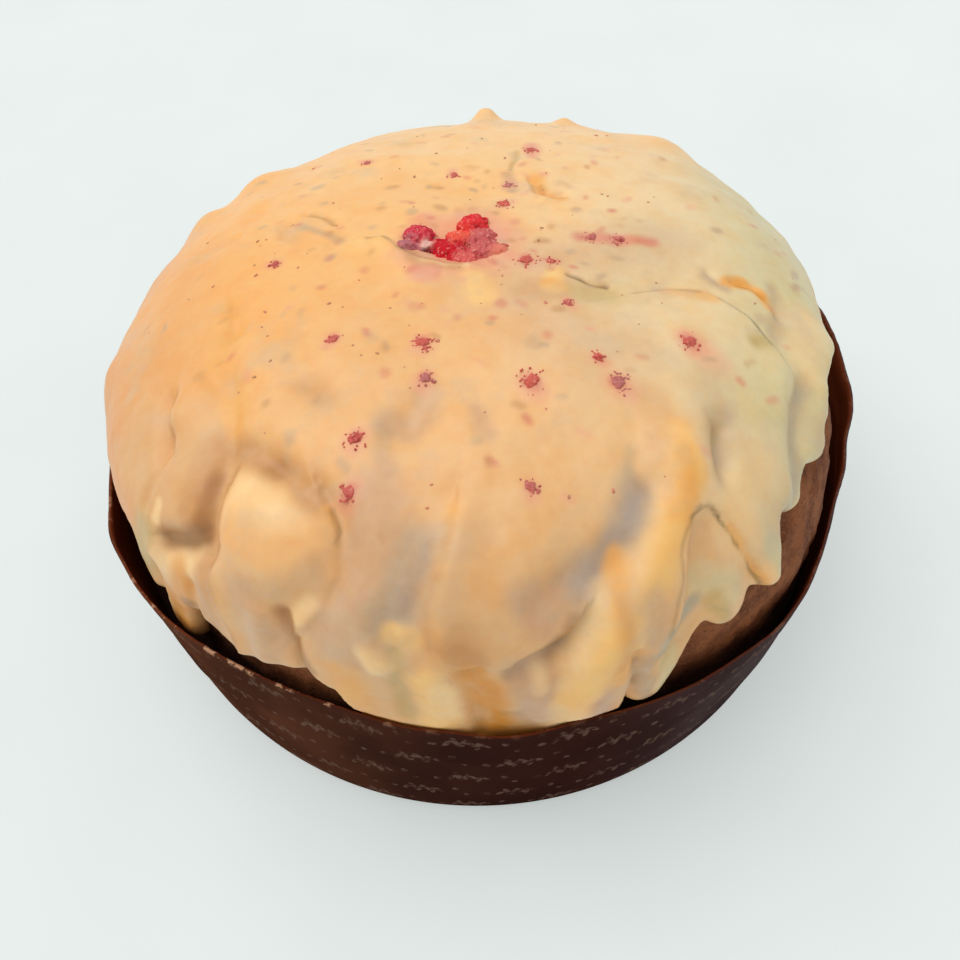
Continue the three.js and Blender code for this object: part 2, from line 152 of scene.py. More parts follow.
# Flap edges: left of the route, as seen from outside, the surface drops. The drop, how far it reaches,
# how soft the edge is, and the route
FLAPS = [
    (
        2.2, 9, 0.45,
        [(-51, 89), (-53, 80), (-55, 75), (-57, 73), (-60, 73), (-62, 76), (-64, 82), (-66, 89)],
    ),
    (1.5, 8, 0.45, [(-34, 42), (-23, 48), (-19, 53), (-21, 60), (-25, 65)]),
    (1.6, 6, 0.5, [(-113, 66), (-109.3, 69), (-108.3, 71), (-107.8, 74), (-109, 79), (-112, 84)]),
    (1.3, 5, 0.5, [(-121, 91), (-122, 86), (-124.5, 80), (-125.5, 76), (-126.5, 72), (-129, 67.5)]),
    (1.5, 6, 0.6, [(-94, 86), (-96, 80), (-95.8, 76), (-94, 71), (-93, 65)]),
    (
        1.1, 4.5, 0.6,
        [(-160, 55), (-153, 56), (-148, 59), (-140, 60.3), (-136, 62.5), (-131, 66), (-129, 68)],
    ),
    (0.9, 4, 0.4, [(-141, 69.5), (-145, 68), (-148, 66)]),
    (1.3, 4, 0.4, [(-127.5, 76.5), (-131, 78), (-135, 80)]),
    (1.5, 5, 0.5, [(-78, 80.5), (-79.5, 82.5), (-82, 84.2), (-85, 85)]),
    (1.2, 4, 0.5, [(-60, 86), (-62, 84.5), (-64.5, 86.5), (-67.5, 90)]),
]
# Bumps and dents drawn at random all over
BUMPS = {"count": 70, "falls": (20, 100), "reach": (5, 11), "rise": 0.7, "seed": 4711}

# Finer relief, which only the visible icing has

FINE_RELIEF = [
    (-0.9, 1.1, [(-36, 30), (-35, 34), (-32, 38)]),
    (-1.2, 1.3, [(-12, 57), (-11, 60), (-13, 62), (-14, 64), (-16, 65)]),
    (-0.8, 1.1, [(-12, 53), (-14, 55)]),
    (-1.4, 1.3, [(60, 33), (50, 28), (42, 29), (39, 32)]),
    (0.8, 1.6, [(58, 30), (50, 25), (40, 26)]),
    (-0.8, 0.9, [(74, 44), (72, 36)]),
    (-1.0, 1.3, [(158, 45), (159, 42), (164, 37)]),
    (-0.9, 1.3, [(171, 47), (166, 48), (162, 47)]),
    (-0.9, 1.6, [(156, 56)]),
    (-0.9, 1.4, [(168, 56)]),
    (-0.7, 1.6, [(-180, 36)]),
    (-1.0, 1.4, [(-142, 69), (-140, 74), (-140, 78)]),
    (-0.9, 1.6, [(-134, 80), (-131, 78), (-128, 76)]),
    (-1.1, 1.5, [(-94, 85), (-92, 87), (-90, 86)]),
    (-0.9, 1.5, [(-48, 66), (-51, 68), (-52, 71)]),
    (-1.0, 2.2, [(-80, 80)]),
    (-0.6, 2.5, [(-100, 57)]),
    (-0.6, 2.2, [(-89, 56)]),
    (1.2, 2, [(-103, 83), (-102, 86)]),
    (1.5, 2.2, [(-99, 80.7)]),
    (-0.9, 2.4, [(-97.5, 77)]),
    (-0.8, 1.8, [(-100, 84), (-99, 97)]),
    (1.0, 2.5, [(-96, 87), (-95, 98)]),
    (-0.9, 1.6, [(-92, 86), (-90.5, 95), (-90, 102)]),
    (0.8, 2.5, [(-87, 86), (-86.5, 95)]),
    (1.2, 3, [(-83, 88), (-83, 98)]),
    (-0.9, 1.8, [(-80.5, 88), (-80, 100)]),
    (-1.6, 1.5, [(-71, 88), (-70.6, 98)]),
    (-1.2, 1.6, [(-128.5, 84), (-128, 92)]),
    (-1.1, 1.5, [(-114, 81), (-113, 87), (-111, 93)]),
    (0.9, 2.5, [(-117, 82), (-117, 92)]),
    (0.9, 2.5, [(-137, 84), (-134, 81), (-130, 78.5)]),
    (-0.8, 3, [(-50, 69), (-47.5, 66.5)]),
    (0.7, 4, [(-48, 72), (-44, 76)]),
    (0.9, 5, [(-34, 77)]),
    (-0.8, 2.5, [(-21, 65), (-15, 65), (-9, 63.5)]),
    (0.8, 6, [(-17, 70)]),
    (-0.7, 3, [(-61, 60), (-65, 64)]),
    (-0.9, 4, [(-100, 52), (-103, 56)]),
    (-0.7, 5, [(-45, 38)]),
    (-0.6, 4, [(-12, 38)]),
    (0.7, 5, [(-20, 44)]),
]
# Fine unevenness all over: size of the lumps and how far they stand out or in
ROUGHNESS = [(13, 0.55), (6, 0.3), (2.6, 0.1)]
ROUGHNESS_SEED = 31
# The lip in front of the berry: how far it stands up on the route's right, its reach and its route
LIP_SOFT = 0.5
LIP = (1.5, 3.5, [(178, 28), (177, 25), (-174, 22), (-159, 20), (-144, 18), (-121, 15), (-102, 14)])


def smooth_step(low, high, value):
    t = np.clip((value - low) / (high - low), 0, 1)
    return t * t * (3 - 2 * t)


def smooth_max(a, b, rounding):
    """The larger of two lengths, rounded where they are alike"""
    t = np.maximum(0, rounding - np.abs(a - b)) / rounding
    return np.maximum(a, b) + t * t * rounding / 4


def table_at(table, x):
    places, values = np.array(table, float).T
    after = np.clip(np.searchsorted(places, x), 1, len(places) - 1)
    before = after - 1
    share = smooth_step(places[before], places[after], x)
    return values[before] + (values[after] - values[before]) * share


def drawer(seed):
    """A repeatable random draw, from 0 to 1"""
    state = seed
    while True:
        state = (state * 16807) % 2147483647
        yield state / 2147483647


def between(low, high, share):
    return low + (high - low) * share


def noise_at(points, size, seed=0.0):
    """Smooth noise from -1 to 1 with lumps of about that size in millimetres"""
    shift = Vector((seed, seed, seed))
    return np.array([noise.noise(Vector(point) / size + shift) for point in points])


def unit(vectors):
    return vectors / np.linalg.norm(vectors, axis=-1, keepdims=True)


# The case's and the dome's surfaces


def case_radius(azimuth, height):
    share = np.maximum(0, height / CASE["height"])
    flare = (CASE["rim_radius"] - CASE["floor_radius"]) * share ** CASE["swell"]
    return CASE["floor_radius"] + flare + table_at(RIM_OUT, azimuth) * share**2


def plan_radius(azimuth):
    a = np.radians(azimuth)
    return (
        DOME["radius"]
        + PLAN["right"] * np.cos(a)
        + PLAN["back"] * np.sin(a)
        + PLAN["oval"] * np.cos(2 * a)
        + PLAN["skew"] * np.sin(2 * a)
    )


def side_length(azimuth):
    """Millimetres down the side for each degree of fall"""
    return np.radians(plan_radius(azimuth))


def dome_points(places):
    azimuth, fall = places.T
    a = np.radians(azimuth)
    polar = np.radians(np.minimum(fall, 90))
    rise = np.maximum(0, np.cos(polar))
    power = DOME["squareness"]
    reach = ((np.sin(polar) / plan_radius(azimuth)) ** power + (rise / DOME["rise"]) ** power) ** (
        -1 / power
    )
    out = reach * np.sin(polar)
    lean = out * (DOME["slope_right"] * np.cos(a) + DOME["slope_back"] * np.sin(a))
    below = np.maximum(0, fall - 90) * side_length(azimuth)
    height = DOME["widest_height"] + reach * rise + lean - below
    return np.stack([out * np.cos(a), out * np.sin(a), height], axis=1)


def dome_normals(places):
    step = 0.2
    centre = np.stack([places[:, 0], np.maximum(places[:, 1], 1)], axis=1)
    across, down = np.array([step, 0]), np.array([0, step])
    around = dome_points(centre + across) - dome_points(centre - across)
    downward = dome_points(centre + down) - dome_points(centre - down)
    return unit(np.cross(downward, around))


def bread_points(places):
    """The bread's skin: a coat's depth in from the dome, and out to the case's wall low down"""
    azimuth, fall = places.T
    points = dome_points(places) - COAT * dome_normals(places)
    out = np.hypot(points[:, 0], points[:, 1])
    turn = (azimuth - SWELL["azimuth"]) / SWELL["spread"]
    bulge = SWELL["out"] * smooth_step(SWELL["fall_from"], SWELL["fall_to"], fall)
    swollen = out + bulge * np.exp(-turn * turn)
    height = np.minimum(points[:, 2], CASE["height"])
    wall = case_radius(azimuth, height) - CASE["paper"] - 1.5 * GAP
    filled = 1 - smooth_step(CREVICE["bottom"], CREVICE["top"], points[:, 2])
    filled = np.where(fall > 90, filled, 0)
    scale = (swollen + (wall - swollen) * filled) / np.maximum(out, 1e-6)
    points[:, :2] *= np.where(out > 0, scale, 1)[:, None]
    return points


def on_bread(route):
    return bread_points(np.array(route, float))


def nearest(points, normals, route, within=np.inf):
    """How far points are from a route on the bread, and which are on its right"""
    corners = on_bread(route)
    distance = np.full(len(points), np.inf)
    right = np.zeros(len(points), bool)
    low, high = corners.min(0) - within, corners.max(0) + within
    close = np.flatnonzero(np.all((points >= low) & (points <= high), axis=1))
    ends = corners[1:] if len(corners) > 1 else corners
    for start, end in zip(corners, ends):
        along = end - start
        offset = points[close] - start
        share = np.clip(offset @ along / max(along @ along, 1e-9), 0, 1)
        length = np.linalg.norm(offset - share[:, None] * along, axis=1)
        side = np.einsum("ij,ij->i", np.cross(along, offset), normals[close])
        nearer = length < distance[close]
        distance[close[nearer]] = length[nearer]
        right[close[nearer]] = side[nearer] < 0
    return distance, right


def fade(points, normals, route, reach):
    distance, _ = nearest(points, normals, route, within=3 * reach)
    return np.exp(-((distance / reach) ** 2))


# The icing's form


def inside_icing(places, points, normals):
    """How far inside the icing's outline places are"""
    azimuth, fall = places.T
    inside = (table_at(COAT_END, azimuth) - fall) * side_length(azimuth)
    for start, end, half in DRIPS:
        distance, _ = nearest(points, normals, [start, end])
        inside = smooth_max(inside, half - distance, MERGE)
    return inside


def bumps_all_over():
    draw = drawer(BUMPS["seed"])
    for _ in range(BUMPS["count"]):
        azimuth = 360 * next(draw) - 180
        fall = between(*BUMPS["falls"], next(draw))
        reach = between(*BUMPS["reach"], next(draw))
        yield BUMPS["rise"] * (2 * next(draw) - 1), reach, [(azimuth, fall)]


def icing_depth(points, normals):
    depth = np.full(len(points), float(COAT))
    for rise, reach, route in [*RELIEF, *bumps_all_over(), *FINE_RELIEF]:
        depth += rise * fade(points, normals, route, reach)
    for drop, reach, soft, route in FLAPS:
        distance, right = nearest(points, normals, route, within=3 * reach)
        signed = np.clip(np.where(right, distance, -distance), -50 * soft, 50 * soft)
        low = 1 / (1 + np.exp(signed / soft))
        depth -= drop * low * np.exp(-((distance / reach) ** 2))
    for size, rise in ROUGHNESS:
        depth += rise * noise_at(points, size, ROUGHNESS_SEED)
    rise, reach, route = LIP
    distance, right = nearest(points, normals, route, within=3 * reach)
    signed = np.clip(np.where(right, distance, -distance), -50, 50)
    depth += rise / (1 + np.exp(-signed / LIP_SOFT)) * np.exp(-((distance / reach) ** 2))
    return np.maximum(depth, LEAST_DEPTH)


def clear_of_case(places, points):
    """Points pulled in where they would touch the case's wall"""
    above = np.maximum(0, points[:, 2] - CASE["height"])
    wall = case_radius(places[:, 0], points[:, 2] - above) - CASE["paper"] - CASE_CLEARANCE
    out = np.maximum(np.hypot(points[:, 0], points[:, 1]), 1e-6)
    pulled = points.copy()
    pulled[:, :2] *= np.minimum(1, (wall + OVERHANG * above) / out)[:, None]
    return pulled


def icing_points(places):
    """The icing's surface at places inside its outline"""
    base, normals = bread_points(places), dome_normals(places)
    share = 1 - np.clip(inside_icing(places, base, normals) / ROUNDED_EDGE, 0, 1)
    lift = icing_depth(base, normals) * np.sqrt(1 - share**2)
    return clear_of_case(places, base + normals * lift[:, None])


def disc(rings):
    """A flat disc of rings, 6 points more on each: its points within radius 1, and its triangles"""
    points = [(0.0, 0.0)]
    triangles = []
    first = [0] + [1 + 3 * ring * (ring - 1) for ring in range(1, rings + 2)]
    for ring in range(1, rings + 1):
        angles = np.radians(-180 + 60 * np.arange(6 * ring) / ring)
        points += list(zip(ring / rings * np.cos(angles), ring / rings * np.sin(angles)))
        inner_count = max(1, 6 * (ring - 1))
        for sector in range(6):
            for k in range(ring):
                outer = sector * ring + k
                inner = sector * (ring - 1) + k
                a = first[ring] + outer
                b = first[ring] + (outer + 1) % (6 * ring)
                c = first[ring - 1] + inner % inner_count
                triangles.append((a, b, c))
                if k < ring - 1:
                    d = first[ring - 1] + (inner + 1) % inner_count
                    triangles.append((c, b, d))
    return np.array(points), np.array(triangles)


def places_of(flat):
    """Places on the dome from a flat map, where the distance from the middle is the fall"""
    azimuth = np.degrees(np.arctan2(flat[:, 1], flat[:, 0]))
    return np.stack([azimuth, np.hypot(flat[:, 0], flat[:, 1])], axis=1)


def outline_distance(flat):
    places = places_of(flat)
    return inside_icing(places, bread_points(places), dome_normals(places))


def moved_to(flat, inside, target):
    """Flat points moved straight towards or away from the outline, to a target distance inside it"""
    step = 0.1
    slope_u = (outline_distance(flat + [step, 0]) - inside) / step
    slope_v = (outline_distance(flat + [0, step]) - inside) / step
    slope = np.stack([slope_u, slope_v], axis=1)
    return flat + ((target - inside) / np.maximum((slope**2).sum(1), LEAST_SLOPE))[:, None] * slope


ICING_RINGS = 220
LAST_FALL = 113
# A power below 1 that sets the rings closer together lower down
RING_SPREAD = 0.85
# Points nearer the outline than this, in millimetres, are moved onto it
SNAP = 0.3
SNAP_ROUNDS = 3
# How far off the bread the icing's underside lies
UNDERSIDE = 0.25
# Rounds of evening out the points near the outline, and how far each round moves them
RELAXING = 3
RELAXED_SHARE = 0.5
# The outline's distance changes by about 3 of these for each degree, squared, and by less in a notch
LEAST_SLOPE = 1.0


def middle_of_neighbours(flat, triangles):
    ends = triangles[:, [0, 1, 2]].ravel()
    others = triangles[:, [1, 2, 0]].ravel()
    starts, stops = np.concatenate([ends, others]), np.concatenate([others, ends])
    count = np.bincount(starts, minlength=len(flat))
    sums = [np.bincount(starts, flat[stops, axis], minlength=len(flat)) for axis in (0, 1)]
    return np.stack(sums, axis=1) / count[:, None]


def icing_mesh():
    unit_flat, triangles = disc(ICING_RINGS)
    away = np.maximum(np.hypot(*unit_flat.T), 1e-9)[:, None]
    flat = unit_flat / away * away**RING_SPREAD * LAST_FALL
    inside = outline_distance(flat)
    well_in = inside > SNAP
    kept = triangles[well_in[triangles].any(1)]
    used = np.unique(kept)
    renumber = np.full(len(flat), -1)
    renumber[used] = np.arange(len(used))
    kept, flat, inside = renumber[kept], flat[used], inside[used]
    edge = inside <= SNAP
    turn = np.clip(inside / ROUNDED_EDGE, 0, 1) * np.pi / 2
    target = np.where(inside < ROUNDED_EDGE, ROUNDED_EDGE * (1 - np.cos(turn)), inside)
    flat = moved_to(flat, inside, np.where(edge, 0, target))
    for _ in range(SNAP_ROUNDS):
        flat[edge] = moved_to(flat[edge], outline_distance(flat[edge]), 0)
    near_edge = np.flatnonzero(~edge & (inside < 2 * ROUNDED_EDGE))
    for _ in range(RELAXING):
        flat[near_edge] += RELAXED_SHARE * (middle_of_neighbours(flat, kept) - flat)[near_edge]
    places = places_of(flat)
    base, normals = bread_points(places), dome_normals(places)
    share = 1 - np.clip(outline_distance(flat) / ROUNDED_EDGE, 0, 1)
    share[edge] = 1
    lift = UNDERSIDE + (icing_depth(base, normals) - UNDERSIDE) * np.sqrt(1 - share**2)
    outer = clear_of_case(places, base + normals * lift[:, None])
    inner = base + normals * UNDERSIDE
    too_thin = np.einsum("ij,ij->i", outer - inner, normals) < UNDERSIDE
    inner[too_thin] = outer[too_thin] - UNDERSIDE * normals[too_thin]
    under = np.where(edge, np.arange(len(flat)), -1)
    under[~edge] = len(flat) + np.arange((~edge).sum())
    points = np.vstack([outer, inner[~edge]])
    faces = np.vstack([kept, under[kept][:, ::-1]])
    return points, faces, places


# Meshes and materials


def mesh_object(name, points, faces, smooth=True):
    mesh = bpy.data.meshes.new(name)
    corners = faces.tolist() if isinstance(faces, np.ndarray) else faces
    mesh.from_pydata((np.asarray(points) * MM).tolist(), [], corners)
    mesh.update()
    if smooth:
        mesh.shade_smooth()
    piece = bpy.data.objects.new(name, mesh)
    bpy.context.scene.collection.objects.link(piece)
    return piece


def add_field(piece, name, values):
    field = piece.data.attributes.new(name, "FLOAT", "POINT")
    whole = np.zeros(len(piece.data.vertices), np.float32)
    whole[: len(values)] = values
    field.data.foreach_set("value", whole)


def colour(red, green, blue):
    """A linear colour from its screen values, 0 to 255"""
    def linear(value):
        share = value / 255
        return share / 12.92 if share <= 0.04045 else ((share + 0.055) / 1.055) ** 2.4
    return (linear(red), linear(green), linear(blue), 1.0)


class Shader:
    """A material's node tree, built a node at a time"""

    def __init__(self, name):
        self.material = bpy.data.materials.new(name)
        self.material.use_nodes = True
        self.tree = self.material.node_tree
        self.surface = self.tree.nodes["Principled BSDF"]

    def node(self, kind, settings=None, **inputs):
        made = self.tree.nodes.new(kind)
        for key, value in (settings or {}).items():
            setattr(made, key, value)
        for key, value in inputs.items():
            self.put(made.inputs[int(key[1:]) if key[0] == "i" and key[1:].isdigit() else key], value)
        return made

    def put(self, socket, value):
        if isinstance(value, bpy.types.NodeSocket):
            self.tree.links.new(value, socket)
        else:
            socket.default_value = value

    def field(self, name):
        return self.node("ShaderNodeAttribute", {"attribute_name": name}).outputs["Fac"]

    def place(self):
        return self.node("ShaderNodeTexCoord").outputs["Object"]

    def grain(self, size, detail=2.0, rough=0.5):
        """Noise whose lumps are about size millimetres across"""
        made = self.node(
            "ShaderNodeTexNoise",
            Vector=self.place(),
            Scale=1 / (size * MM),
            Detail=detail,
            Roughness=rough,
        )
        return made.outputs["Fac"]

    def math(self, operation, a, b=0.0, c=0.0):
        return self.node("ShaderNodeMath", {"operation": operation}, i0=a, i1=b, i2=c).outputs[0]

    def spread(self, value, low, high, to_low=0.0, to_high=1.0):
        made = self.node("ShaderNodeMapRange", {"interpolation_type": "SMOOTHSTEP"})
        sockets = {
            "Value": value,
            "From Min": low,
            "From Max": high,
            "To Min": to_low,
            "To Max": to_high,
        }
        for key, source in sockets.items():
            self.put(made.inputs[key], source)
        return made.outputs["Result"]

    def mix(self, share, a, b, blend="MIX"):
        made = self.node("ShaderNodeMix", {"data_type": "RGBA", "blend_type": blend})
        self.put(made.inputs[0], share)
        self.put(made.inputs[6], a)
        self.put(made.inputs[7], b)
        return made.outputs[2]

    def bump(self, height, depth, below=None):
        made = self.node("ShaderNodeBump", Height=height, Distance=depth * MM)
        if below is not None:
            self.put(made.inputs["Normal"], below)
        return made.outputs["Normal"]

    def finish(self, **inputs):
        for key, value in inputs.items():
            self.put(self.surface.inputs[key.replace("_", " ")], value)
        return self.material


def ready(piece, material, slot, *nodes):
    piece.data.materials.append(material)
    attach(piece, "root")
    if nodes:
        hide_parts(*nodes)
    return piece


# Tones of the icing, in screen values. Besides the icing's own tones, lilac, grey, blue_grey, cool_grey,
# olive, brown, deep_brown and the shade, dark and crease tones are used as painted shade in valleys,
# folds, recesses and under edges, and light and amber_light as painted highlights; brown and grey also
# tint the dust smudges
TONES = {
    "peach": (248, 201, 144),
    "orange_peach": (247, 184, 112),
    "cream": (243, 212, 165),
    "green_cream": (216, 204, 158),
    "tan": (224, 176, 124),
    "brown": (200, 148, 98),
    "deep_brown": (168, 118, 70),
    "lilac": (206, 168, 136),
    "grey": (192, 164, 134),
    "blue_grey": (186, 172, 146),
    "light": (253, 216, 160),
    "yellow": (252, 204, 128),
    "amber": (240, 176, 94),
    "amber_light": (250, 196, 118),
    "deep_amber": (218, 146, 56),
    "olive": (192, 168, 108),
    "pink": (236, 166, 138),
    "rose": (214, 120, 104),
    "crease_shade": (104, 82, 36),
    "cool_grey": (180, 162, 148),
    "shade": (146, 122, 98),
    "orange_tan": (226, 160, 98),
    "dark_shade": (116, 84, 46),
}
